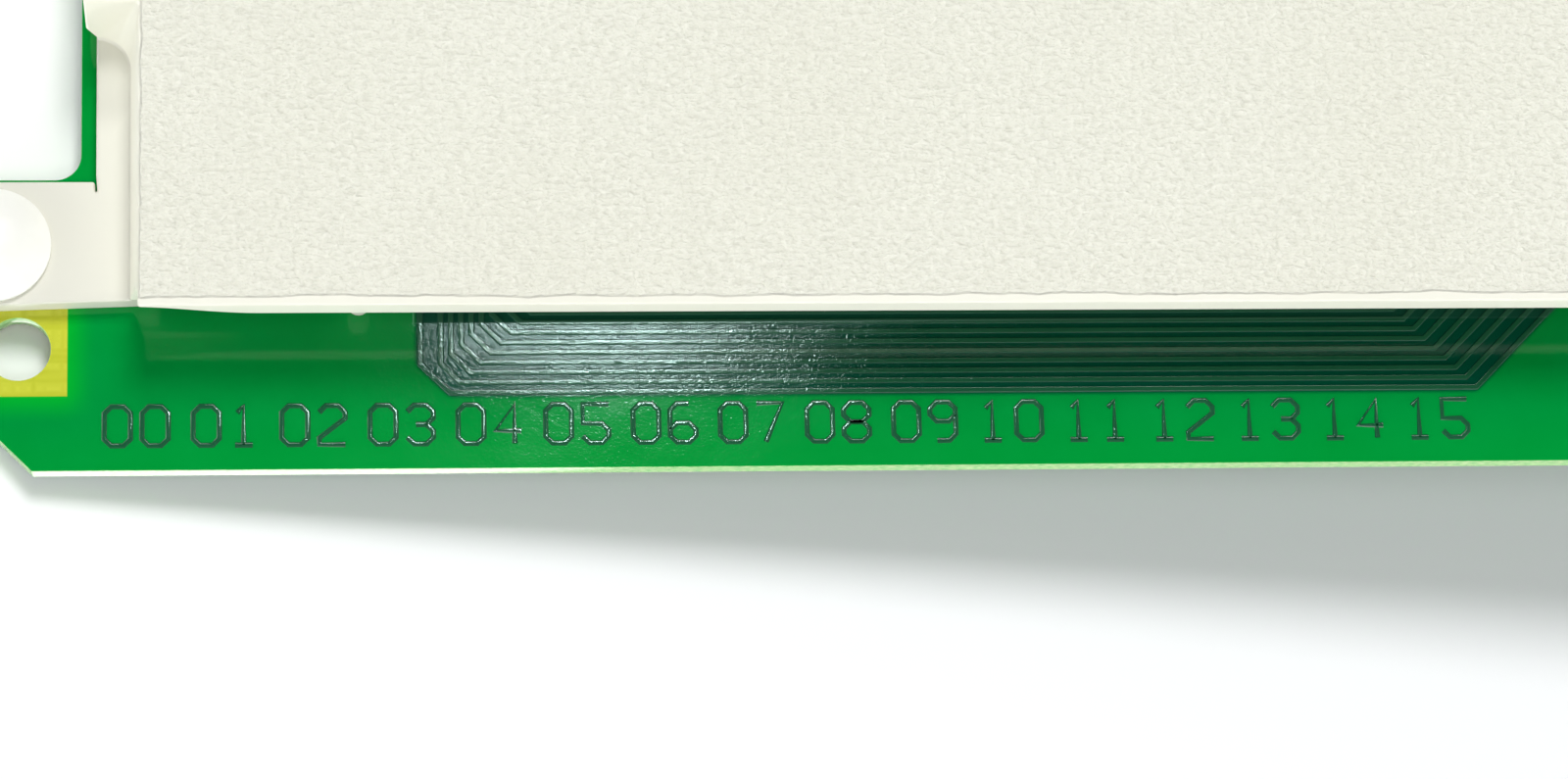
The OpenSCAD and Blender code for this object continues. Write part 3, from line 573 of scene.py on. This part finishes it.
def tinned_metal():
    material, tree, shader, place = finish("tinned_metal", linear(200, 200, 198), 0.3, Metallic=1.0)
    drawn = noise(tree, place, 0.2, 3.0)
    linked(tree, shader, base_color=blended(tree, drawn, linear(212, 212, 208), linear(170, 170, 170)),
           roughness=spread(tree, drawn, 0.22, 0.42), normal=raised(tree, drawn, 0.006))
    return material


def painted(piece, materials, choose):
    """Gives each face the material whose number choose() returns for the face's middle."""
    piece.data.materials.clear()
    for material in materials:
        piece.data.materials.append(material)
    for face in piece.data.polygons:
        face.material_index = choose(face.center)
    return piece


epoxy_finish = moulded_epoxy()
tin_finish = tinned_metal()


def dip_package(node_name):
    low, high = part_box(node_name)
    lead_x = DIP_SHOULDER * MM * 1.02
    piece = softened(node_name, node_name.replace("_ic", "") + "_package", DIP_CORNER_RADIUS)

    def lead(centre):
        return int(centre.x < low.x + lead_x or centre.x > high.x - lead_x)
    painted(piece, [epoxy_finish, tin_finish], lead)
    return carried(piece, "package_epoxy", node_name)


for package in PACKAGE_NODES + [f"opto_coupler_{i}" for i in CHANNELS]:
    dip_package(package)

# Resistor networks and small capacitors
# Flat ceramic parts dipped in epoxy, tan for the networks and brown for the capacitors, on tinned pins.
# The dip leaves rounded corners and a slightly uneven gloss.
SMALL_STANDOFF = 0.8
DIPPED_RADIUS = 0.16


def dipped_coat(name, light, dark):
    material, tree, shader, place = finish(name, light, 0.3)
    runs = noise(tree, place, 1.6, 2.0)
    linked(tree, shader, base_color=blended(tree, runs, light, dark), roughness=spread(tree, runs, 0.22, 0.4),
           normal=raised(tree, runs, 0.08))
    return material


def pinned_parts(node_name, name, slot, coat):
    piece = softened(node_name, name, DIPPED_RADIUS, 3)
    body_top = board_low.z - SMALL_STANDOFF * MM

    def pin(centre):
        return int(centre.z > body_top + 0.02 * MM)
    painted(piece, [coat, tin_finish], pin)
    return carried(piece, slot, node_name)


network_coat = dipped_coat("network_dip", linear(196, 160, 84), linear(176, 138, 66))
ceramic_coat = dipped_coat("ceramic_dip", linear(186, 132, 66), linear(158, 104, 48))
pinned_parts("resistor_networks", "network_strips", "network_coat", network_coat)
pinned_parts("bypass_capacitors", "bypass_discs", "ceramic_coat", ceramic_coat)

# Output fuses and their clips
# Glass tubes with a fuse wire between two nickelled caps. Each cap snaps into a spring clip of tinned sheet,
# which is bent round the cap and soldered to the board by its foot.
FUSE_CAP_LENGTH = 5.5
FUSE_WALL = 0.55
FUSE_WIRE = 0.12
FUSE_CAP_RADIUS = 2.6
FUSE_TUBE_RADIUS = 2.35
FUSE_CAP_EDGE = 0.25
CLIP_EDGE_RADIUS = 0.1
TURN_STEPS = 40


def turned(shape, profile, steps=TURN_STEPS):
    """Adds the solid that a profile of (radius, height) points in millimetres makes when it turns about z."""
    corners = [shape.verts.new((r * MM, 0, z * MM)) for r, z in profile]
    edges = [shape.edges.new(pair) for pair in zip(corners, corners[1:])]
    bmesh.ops.spin(shape, geom=corners + edges, cent=(0, 0, 0), axis=(0, 0, 1), angle=2 * math.pi, steps=steps,
                   use_merge=True)
    bmesh.ops.remove_doubles(shape, verts=shape.verts, dist=MERGE_DISTANCE)


def lathe_mesh(name, profiles, steps=TURN_STEPS):
    """One mesh of several turned solids. The faces of each carry its number as their material."""
    whole = bpy.data.meshes.new(name)
    shape = bmesh.new()
    for number, profile in enumerate(profiles):
        single = bmesh.new()
        turned(single, profile, steps)
        bmesh.ops.recalc_face_normals(single, faces=single.faces)
        for face in single.faces:
            face.material_index = number
        part = bpy.data.meshes.new(name + "_part")
        single.to_mesh(part)
        single.free()
        shape.from_mesh(part)
        bpy.data.meshes.remove(part)
    shape.to_mesh(whole)
    shape.free()
    return whole


def clear_glass():
    material, tree, shader, place = finish("fuse_tube_glass", linear(236, 242, 240), 0.04, IOR=1.48)
    shader.inputs["Transmission Weight"].default_value = 0.92
    dust = noise(tree, place, 0.8, 3.0)
    linked(tree, shader, roughness=spread(tree, dust, 0.02, 0.12))
    return material


def fuse_profiles(length):
    half = length / 2
    inner = half - FUSE_CAP_LENGTH
    cap_r, edge = FUSE_CAP_RADIUS, FUSE_CAP_EDGE

    def cap(sign):
        return [(0, sign * half), (cap_r - edge, sign * half), (cap_r, sign * (half - edge)),
                (cap_r, sign * (inner + edge / 2)), (cap_r - edge / 2, sign * inner), (0, sign * inner)]
    tube = [(FUSE_TUBE_RADIUS - FUSE_WALL, -inner), (FUSE_TUBE_RADIUS, -inner), (FUSE_TUBE_RADIUS, inner),
            (FUSE_TUBE_RADIUS - FUSE_WALL, inner), (FUSE_TUBE_RADIUS - FUSE_WALL, -inner)]
    wire = [(0, -inner), (FUSE_WIRE, -inner), (FUSE_WIRE, inner), (0, inner)]
    return [tube, cap(-1), cap(1), wire]


glass_finish = clear_glass()
ALONG_X = Matrix.Rotation(math.pi / 2, 4, "Y")


def output_fuse(i):
    low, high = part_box(f"output_fuse_{i}")
    mesh = lathe_mesh(f"glass_fuse_{i}", fuse_profiles((high.x - low.x) / MM))
    mesh.transform(Matrix.Translation((low + high) / 2) @ ALONG_X)
    for material in (glass_finish, tin_finish, tin_finish, tin_finish):
        mesh.materials.append(material)
    return carried(settled(added(f"glass_fuse_{i}", mesh)), "fuse_glass", f"output_fuse_{i}")


for channel in CHANNELS:
    output_fuse(channel)
clip_piece = softened("fuse_clips", "spring_clips", CLIP_EDGE_RADIUS)
painted(clip_piece, [tin_finish], lambda centre: 0)
carried(clip_piece, "clip_metal", "fuse_clips")

# Surge varistors
# Pressed zinc-oxide discs dipped in blue epoxy, which stand on edge beside each relay.
# The dip sags slightly towards the two tinned wires.
VARISTOR_STANDOFF = 1.25
VARISTOR_RADIUS = 0.05
blue_dip = dipped_coat("varistor_dip", linear(38, 96, 172), linear(26, 74, 146))
wire_top = board_low.z - VARISTOR_STANDOFF * MM
for channel in CHANNELS:
    disc = softened(f"surge_varistor_{channel}", f"varistor_disc_{channel}", VARISTOR_RADIUS, 1)
    painted(disc, [blue_dip, tin_finish], lambda centre: int(centre.z > wire_top))
    carried(disc, "varistor_coat", f"surge_varistor_{channel}")

# Output relays
# Sealed relays in a moulded blue case, one for each output channel, standing nearest to the front.
# The case has rounded corners, a fine moulded grain and an uneven gloss.
RELAY_RADIUS = 0.45


def relay_plastic():
    material, tree, shader, place = finish("relay_case_blue", linear(40, 62, 122), 0.35)
    grain = noise(tree, place, 0.25, 2.0)
    patch = noise(tree, place, 6.0, 2.0)
    linked(tree, shader, base_color=blended(tree, patch, linear(36, 56, 114), linear(46, 70, 132)),
           roughness=spread(tree, patch, 0.3, 0.42), normal=raised(tree, grain, 0.015))
    return material


relay_finish = relay_plastic()
for channel in CHANNELS:
    relay = softened(f"output_relay_{channel}", f"relay_case_{channel}", RELAY_RADIUS, 3)
    painted(relay, [relay_finish], lambda centre: 0)
    carried(relay, "relay_case", f"output_relay_{channel}")

# Filter capacitor
# An aluminium can in a shrunk dark sleeve, with a rolled groove near its foot and a turned-in sleeve edge.
# It stands between the middle two channels.
CAN_RADIUS = 0.2
CAN_TOP_RADIUS = 3.4


def can_sleeve():
    material, tree, shader, place = finish("can_sleeve_dark", linear(30, 34, 52), 0.3)
    film = noise(tree, place, 1.2, 2.0)
    linked(tree, shader, base_color=blended(tree, film, linear(26, 30, 46), linear(42, 46, 66)),
           roughness=spread(tree, film, 0.24, 0.4), normal=raised(tree, film, 0.03))
    return material


can_piece = softened("filter_capacitor", "filter_can", CAN_RADIUS, 3)
can_low, can_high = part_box("filter_capacitor")
can_middle = (can_low + can_high) / 2


def can_end(centre):
    away = math.hypot(centre.x - can_middle.x, centre.y - can_middle.y)
    return int(centre.z < can_low.z + 0.1 * MM and away < CAN_TOP_RADIUS * MM)


painted(can_piece, [can_sleeve(), tin_finish], can_end)
carried(can_piece, "can_sleeve", "filter_capacitor")

# Indicator lamps
# Red epoxy lamps with a domed tip and a flange, bent over on their leads so that they look out of the front.
# The epoxy is clear enough for the light of the dome to show.
LAMP_LENGTH = 6.0
LAMP_RADIUS = 0.06


def lamp_epoxy():
    material, tree, shader, place = finish("lamp_epoxy_red", linear(206, 34, 26), 0.12, IOR=1.5)
    shader.inputs["Transmission Weight"].default_value = 0.35
    cloud = noise(tree, place, 0.7, 2.0)
    linked(tree, shader, base_color=blended(tree, cloud, linear(214, 38, 28), linear(176, 20, 18)),
           roughness=spread(tree, cloud, 0.1, 0.2))
    return material


lamp_finish = lamp_epoxy()
for channel in CHANNELS:
    lamp_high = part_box(f"output_led_{channel}")[1]
    lamp_piece = softened(f"output_led_{channel}", f"lamp_{channel}", LAMP_RADIUS)
    lamp_rim = lamp_high.x - LAMP_LENGTH * MM
    painted(lamp_piece, [lamp_finish, tin_finish], lambda centre: int(centre.x < lamp_rim - 0.02 * MM))
    carried(lamp_piece, "lamp_epoxy", f"output_led_{channel}")

# Front bezel
# A moulded cream box that closes the front, with a window for the wiring plug and one for the lens.
# It has the same fine leather grain as the cover, and its corners are rounded.
CREAM = linear(233, 233, 218)
CREAM_DIRTY = linear(226, 225, 208)
GRAIN_DEPTH = 0.36
PEBBLE_GRAIN = 0.34
PEBBLE_SHARE = 0.75
PIT_GRAIN = 0.15
BEZEL_RADIUS = 0.35


def leather_grain(tree, place):
    """Moulded leather grain: flat pebbles about half a millimetre long with fine pits between them."""
    pebbles = noise(tree, place, PEBBLE_GRAIN, 1.5, (0.62, 1.0, 1.0))
    pits = noise(tree, place, PIT_GRAIN, 2.0, (0.7, 1.0, 1.0))
    coarse = worked(tree, "MULTIPLY", pebbles, PEBBLE_SHARE)
    return worked(tree, "ADD", coarse, worked(tree, "MULTIPLY", pits, 1 - PEBBLE_SHARE))


def bezel_plastic():
    material, tree, shader, place = finish("bezel_cream", CREAM, 0.5)
    grain = leather_grain(tree, place)
    patch = noise(tree, place, 22.0, 3.0)
    linked(tree, shader, base_color=blended(tree, spread(tree, patch, 0.0, 0.6), CREAM, CREAM_DIRTY),
           roughness=spread(tree, patch, 0.44, 0.56), normal=raised(tree, grain, GRAIN_DEPTH))
    return material


bezel_piece = softened("front_bezel", "bezel_moulding", BEZEL_RADIUS, 3)
painted(bezel_piece, [bezel_plastic()], lambda centre: 0)
carried(bezel_piece, "bezel_plastic", "front_bezel")

# Bezel screws
# Two zinc-plated steel screws with domed heads and cross recesses.
# They hold the board down on the bezel's bosses.
SCREW_RADIUS = 0.12


def zinc_plate():
    material, tree, shader, place = finish("zinc_plate", linear(190, 192, 196), 0.32, Metallic=1.0)
    bloom = noise(tree, place, 0.5, 3.0)
    linked(tree, shader, base_color=blended(tree, bloom, linear(204, 206, 208), linear(164, 166, 172)),
           roughness=spread(tree, bloom, 0.24, 0.44), normal=raised(tree, bloom, 0.008))
    return material


screw_piece = softened("bezel_screws", "bezel_screw_pair", SCREW_RADIUS)
painted(screw_piece, [zinc_plate()], lambda centre: 0)
carried(screw_piece, "screw_steel", "bezel_screws")

# Indicator lens
# A clear red strip that snaps into the bezel from inside and shows the eight lamps.
# Fine ribs across it spread the light.
LENS_RIB = 1.27
LENS_RADIUS = 0.2


def red_lens():
    material, tree, shader, place = finish("lens_red_clear", linear(150, 14, 16), 0.14, IOR=1.49)
    shader.inputs["Transmission Weight"].default_value = 0.7
    along = node(tree, "ShaderNodeSeparateXYZ", {0: place}).outputs[1]
    rib = worked(tree, "SINE", worked(tree, "MULTIPLY", along, 2 * math.pi / (LENS_RIB * MM)))
    cloud = noise(tree, place, 3.0, 2.0)
    linked(tree, shader, base_color=blended(tree, cloud, linear(160, 16, 18), linear(128, 8, 12)),
           roughness=spread(tree, cloud, 0.1, 0.2), normal=raised(tree, rib, 0.05))
    return material


lens_piece = softened("indicator_lens", "lens_strip", LENS_RADIUS)
painted(lens_piece, [red_lens()], lambda centre: 0)
carried(lens_piece, "lens_plastic", "indicator_lens")

# Solder-side cover
# A cream moulding that keeps hands off the solder joints. It stands on four riveted flanges in stepped corner
# pockets and on small posts. The top has a leather grain; flanges, rims and edges come smooth from the mould.
cover_low, cover_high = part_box("solder_cover")
GRAIN_START = 13.6
GRAIN_LOW_EDGE = 9.2
COVER_CREAM = linear(239, 239, 226)
# Painted shade in the grain's pits.
COVER_PIT_SHADE = linear(212, 212, 195)
COVER_SMOOTH = linear(237, 236, 222)
# Painted shade on the pocket floors, deepest beside the pockets' walls.
COVER_FLOOR_SHADE = linear(216, 215, 203)
COVER_CORNER_SHADE = linear(198, 197, 185)
COVER_SPECK = linear(96, 100, 116)
COVER_TOP = (6.4, 6.8)
COVER_FLANGE = (1.9, 1.65)
POCKET_WALL = (11.6, 13.2)
POCKET_END = 23.2
PIT_SHADE_SHARE = 0.5
SPECK_SCALE = 90.0
COVER_RADIUS = 0.16
COVER_SHORT_EDGE = 0.12


def cover_plastic():
    material, tree, shader, place = finish("cover_cream", COVER_CREAM, 0.5)
    x, y, z = board_millimetres(tree, place)
    cover_middle = (cover_low.x + cover_high.x) / 2 / MM - board_low.x / MM
    from_middle = worked(tree, "ABSOLUTE", worked(tree, "SUBTRACT", x, cover_middle))
    end_x = worked(tree, "SUBTRACT", cover_middle, from_middle)
    edge_y = worked(tree, "MINIMUM", y, worked(tree, "SUBTRACT", BOARD_HEIGHT, y))
    wobble = worked(tree, "MULTIPLY", worked(tree, "SUBTRACT", noise(tree, place, 3.0, 2.0), 0.5), 0.5)
    top = eased(tree, z, *COVER_TOP)
    inside_x = eased(tree, worked(tree, "ADD", end_x, wobble), GRAIN_START - 0.1, GRAIN_START + 0.1)
    inside_y = eased(tree, worked(tree, "ADD", edge_y, wobble), GRAIN_LOW_EDGE - 0.1, GRAIN_LOW_EDGE + 0.1)
    grained = worked(tree, "MULTIPLY", worked(tree, "MULTIPLY", inside_x, inside_y), top)
    grain = leather_grain(tree, place)
    height = worked(tree, "MULTIPLY", grain, grained)
    brushed = noise(tree, place, 0.3, 2.0, (0.1, 1.0, 1.0))
    normal = raised(tree, height, GRAIN_DEPTH, raised(tree, brushed, 0.004))
    patch = noise(tree, place, 18.0, 3.0)
    # Painted shade: the grain's pits are darker in colour than its pebbles.
    pit_shade = node(tree, "ShaderNodeMapRange", {"Value": grain, "From Min": 0.66, "From Max": 0.34}).outputs["Result"]
    # Painted shade: the flange floors in the pockets are darker, most of all beside the pockets' side walls and
    # near their upper ends.
    corner = worked(tree, "MAXIMUM", eased(tree, end_x, *POCKET_WALL), within(tree, edge_y, POCKET_END, 1.3, 2.4))
    shaded_floor = blended(tree, corner, COVER_FLOOR_SHADE, COVER_CORNER_SHADE)
    smooth = blended(tree, eased(tree, z, *COVER_FLANGE), COVER_SMOOTH, shaded_floor)
    pit_shaded = blended(tree, worked(tree, "MULTIPLY", pit_shade, PIT_SHADE_SHARE), COVER_CREAM, COVER_PIT_SHADE)
    cream = blended(tree, grained, smooth, pit_shaded)
    cream = blended(tree, spread(tree, patch, 0.0, 0.25), cream, CREAM_DIRTY)
    speck = node(tree, "ShaderNodeTexVoronoi", {"Vector": place, "Scale": SPECK_SCALE}).outputs["Distance"]
    spot = worked(tree, "MULTIPLY", eased(tree, speck, 0.02, 0.012), grained)
    dull = worked(tree, "ADD", worked(tree, "MULTIPLY", grained, 0.08), spread(tree, patch, 0.4, 0.46))
    linked(tree, shader, base_color=blended(tree, spot, cream, COVER_SPECK), normal=normal, roughness=dull)
    return material


cover_piece = softened("solder_cover", "moulded_cover", COVER_RADIUS, 3, COVER_SHORT_EDGE * MM)
painted(cover_piece, [cover_plastic()], lambda centre: 0)
carried(cover_piece, "cover_plastic", "solder_cover")

# Cover rivets
# White nylon rivets with a shallow domed head. Each is pushed through the cover's flange and the board,
# and its shank ends flush with the component side.
rivet_low, rivet_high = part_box("cover_rivets")
RIVET_HEAD_RADIUS = 3.55
RIVET_SHANK_RADIUS = 1.9
RIVET_RIM = 0.4
RIVET_RIM_ROUND = 0.15
RIVET_DOME_STEPS = 12
RIVET_HEAD = 1.8
RIVET_STEPS = 64


def rivet_profile():
    top = (rivet_high.z - board_high.z) / MM
    foot = (rivet_low.z - board_high.z) / MM
    seat = top - RIVET_HEAD
    rise = RIVET_HEAD - RIVET_RIM
    dome_radius = (RIVET_HEAD_RADIUS ** 2 + rise ** 2) / (2 * rise)
    half_angle = math.asin(RIVET_HEAD_RADIUS / dome_radius)
    dome = []
    for i in range(RIVET_DOME_STEPS + 1):
        angle = half_angle * (1 - i / RIVET_DOME_STEPS)
        dome.append((dome_radius * math.sin(angle), top - dome_radius + dome_radius * math.cos(angle)))
    rim = [(RIVET_HEAD_RADIUS - RIVET_RIM_ROUND, seat), (RIVET_HEAD_RADIUS, seat + RIVET_RIM_ROUND)]
    return [(0, foot), (RIVET_SHANK_RADIUS, foot), (RIVET_SHANK_RADIUS, seat)] + rim + dome


def nylon():
    material, tree, shader, place = finish("rivet_nylon", linear(246, 246, 241), 0.35)
    shader.inputs["Subsurface Weight"].default_value = 0.15
    shader.inputs["Subsurface Radius"].default_value = (0.002, 0.002, 0.002)
    flow = noise(tree, place, 1.5, 2.0)
    linked(tree, shader, base_color=blended(tree, flow, linear(248, 248, 243), linear(240, 240, 233)),
           roughness=spread(tree, flow, 0.3, 0.42), normal=raised(tree, flow, 0.02))
    return material


def planted(name, unit_mesh, places, material):
    """Sets copies of one mesh at the places, by a tree that instances and then realises them."""
    unit = bpy.data.objects.new(name + "_unit", unit_mesh)
    bpy.context.scene.collection.objects.link(unit)
    tree, start, output = geometry_tree("planted_copies", {})
    single = node(tree, "GeometryNodeObjectInfo", {"Object": unit}).outputs["Geometry"]
    copies = node(tree, "GeometryNodeInstanceOnPoints",
                  {"Points": start.outputs["Geometry"], "Instance": single}).outputs[0]
    ended(tree, copies, material, output)
    mesh = bpy.data.meshes.new(name)
    mesh.from_pydata(places, [], [])
    piece = grown(added(name, mesh), tree, {}, material)
    bpy.data.objects.remove(unit)
    return piece


rivet_xs = (rivet_low.x + RIVET_HEAD_RADIUS * MM, rivet_high.x - RIVET_HEAD_RADIUS * MM)
rivet_ys = (rivet_low.y + RIVET_HEAD_RADIUS * MM, rivet_high.y - RIVET_HEAD_RADIUS * MM)
rivet_places = [Vector((x, y, board_high.z)) for x in rivet_xs for y in rivet_ys]
rivet_piece = planted("nylon_rivets", lathe_mesh("rivet", [rivet_profile()], RIVET_STEPS), rivet_places, nylon())
carried(rivet_piece, "nylon", "cover_rivets")

# Bench
# A plain pale bench. The module lies on the ends of its rear ears and on the bezel's lower back edge,
# so the bench leans a little against the board.
BENCH_REACH = 3.0
bezel_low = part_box("front_bezel")[0]


def bench_finish():
    material, tree, shader, place = finish("bench_white", linear(250, 250, 252), 0.6)
    patch = noise(tree, place, 60.0, 3.0)
    linked(tree, shader, base_color=blended(tree, patch, linear(251, 251, 253), linear(248, 248, 251)))
    behind = node(tree, "ShaderNodeNewGeometry").outputs["Backfacing"]
    clear = node(tree, "ShaderNodeBsdfTransparent").outputs[0]
    output = tree.nodes["Material Output"]
    seen = node(tree, "ShaderNodeMixShader", {0: behind, 1: shader.outputs[0], 2: clear}).outputs[0]
    tree.links.new(seen, output.inputs["Surface"])
    return material


heel = Vector((board_low.x, 0, board_low.z))
toe = Vector((bezel_low.x, 0, bezel_low.z))
along = (toe - heel).normalized()
across = Vector((0, 1, 0))
corners = [heel + (along * i + across * j) * BENCH_REACH for i, j in ((-1, -1), (1, -1), (1, 1), (-1, 1))]
bench_mesh = bpy.data.meshes.new("bench")
bench_mesh.from_pydata(corners, [], [(0, 1, 2, 3)])
bench = added("bench", bench_mesh)
bench_mesh.materials.append(bench_finish())

# Lights
# One soft lamp high behind the module throws the board's shadow towards the viewer. A narrow strip overhead
# gives the mask its sheen right up to the cover's edge, and a weak lamp shows the component side from below.
# A studio that is dark straight above and pale all round fills the rest.
KEY_TO = Vector((0.12, 0.54, 1.0))
KEY_STRENGTH = 1.8
KEY_SIZE = math.radians(20)
OVERHEAD_TO = Vector((0.02, -0.3, 1.0))
OVERHEAD_STRENGTH = 0.76
OVERHEAD_SIZE = math.radians(30)
UNDER_TO = Vector((-0.2, -0.35, -1.0))
UNDER_STRENGTH = 0.45
STRIP_FROM = on_board(42.4, 14.0)
STRIP_TO = Vector((0.0609, 0.267, 1.0)).normalized()
STRIP_DISTANCE = 3.0
STRIP_LENGTH = 0.08
STRIP_WIDTH = 0.045
STRIP_POWER = 2.85
STRIP_TINT = (0.72, 1.0, 0.96)
LAMP_AWAY = 1000
FILL_ROUND = 0.27
FILL_DARK = 0.004
FILL_FRONT = 3.2
FILL_LEFT = 2.6
FILL_TINT = (0.985, 0.99, 1.0, 1.0)
WALL_FADE = (-0.2, -0.75)
WALL_TOP = (0.44, 0.2)
DARK_EDGE = (0.72, 0.93)
DARK_PATCH = Vector((0.08, 0.235, 0.97)).normalized()


def studio_lamp(name, kind, towards, place, energy):
    """A lamp at a place that shines along the line from towards, a direction seen from the module."""
    data = bpy.data.lights.new(name, kind)
    data.energy = energy
    item = bpy.data.objects.new(name, data)
    side = Vector((0, 1, 0)).cross(towards).normalized()
    turn = Matrix((side, towards.cross(side).normalized(), towards.normalized())).transposed().to_4x4()
    item.matrix_world = Matrix.Translation(place) @ turn
    bpy.context.scene.collection.objects.link(item)
    return item


def lets_through(item, piece):
    """Lets a lamp shine past one piece as if the piece threw no shadow."""
    passed = bpy.data.collections.new(item.name + "_passes")
    passed.objects.link(piece)
    passed.collection_objects[0].light_linking.link_state = "EXCLUDE"
    item.light_linking.blocker_collection = passed


key = studio_lamp("key_lamp", "SUN", KEY_TO, on_board(0, 0, LAMP_AWAY), KEY_STRENGTH)
key.data.angle = KEY_SIZE
overhead = studio_lamp("overhead_lamp", "SUN", OVERHEAD_TO, on_board(0, 0, LAMP_AWAY), OVERHEAD_STRENGTH)
overhead.data.angle = OVERHEAD_SIZE
overhead.visible_glossy = False
strip = studio_lamp("strip_lamp", "AREA", STRIP_TO, STRIP_FROM + STRIP_TO * STRIP_DISTANCE, STRIP_POWER)
strip.data.shape = "RECTANGLE"
strip.data.size = STRIP_LENGTH
strip.data.size_y = STRIP_WIDTH
strip.data.color = STRIP_TINT
strip.visible_diffuse = False
lets_through(strip, cover_piece)
under = studio_lamp("under_lamp", "SUN", UNDER_TO, on_board(0, 0, -LAMP_AWAY), UNDER_STRENGTH)
under.data.angle = OVERHEAD_SIZE
lets_through(under, bench)
# The lower lamp lights only what is seen directly, so that it doesn't tint the shadow on the bench.
under.data.cycles.max_bounces = 0
world = bpy.data.worlds.new("studio")
world.use_nodes = True
bpy.context.scene.world = world
sky = world.node_tree
way = node(sky, "ShaderNodeTexCoord").outputs["Generated"]
nearness = node(sky, "ShaderNodeVectorMath", {0: way, 1: DARK_PATCH}, operation="DOT_PRODUCT").outputs["Value"]
patch_sockets = {"Value": nearness, "From Min": DARK_EDGE[0], "From Max": DARK_EDGE[1], "To Min": FILL_ROUND,
                 "To Max": FILL_DARK}
level = node(sky, "ShaderNodeMapRange", patch_sockets, interpolation_type="SMOOTHSTEP").outputs["Result"]
way_x, way_y, way_z = node(sky, "ShaderNodeSeparateXYZ", {0: way}).outputs
front_wall = worked(sky, "MULTIPLY", eased(sky, way_y, *WALL_FADE), FILL_FRONT)
left_wall = worked(sky, "MULTIPLY", eased(sky, way_x, *WALL_FADE), FILL_LEFT)
walls = worked(sky, "MULTIPLY", worked(sky, "ADD", front_wall, left_wall), eased(sky, way_z, *WALL_TOP))
level = worked(sky, "ADD", level, walls)
sky.nodes["Background"].inputs["Color"].default_value = FILL_TINT
sky.links.new(level, sky.nodes["Background"].inputs["Strength"])

# Camera
# A close view down on one rear corner, from a little below the sliding edge.
CAMERA_PLACE = on_board(24.55, -64.222, 292.911)
CAMERA_LOOK = on_board(53.178, 4.877)
CAMERA_ROLL = -0.028
CAMERA_LENS = 111.4
CAMERA_SENSOR = 36.0
CAMERA_NEAR = 0.01
forward = (CAMERA_LOOK - CAMERA_PLACE).normalized()
right = forward.cross(Vector((0, 1, 0))).normalized()
up = right.cross(forward)
rolled_right = right * math.cos(CAMERA_ROLL) + up * math.sin(CAMERA_ROLL)
rolled_up = up * math.cos(CAMERA_ROLL) - right * math.sin(CAMERA_ROLL)
camera = bpy.data.objects.new("camera", bpy.data.cameras.new("camera"))
camera.data.lens = CAMERA_LENS
camera.data.sensor_width = CAMERA_SENSOR
camera.data.sensor_fit = "HORIZONTAL"
camera.data.clip_start = CAMERA_NEAR
turn = Matrix((rolled_right, rolled_up, -forward)).transposed().to_4x4()
camera.matrix_world = Matrix.Translation(CAMERA_PLACE) @ turn
bpy.context.scene.collection.objects.link(camera)
bpy.context.scene.camera = camera
bpy.context.scene.view_settings.view_transform = "Standard"
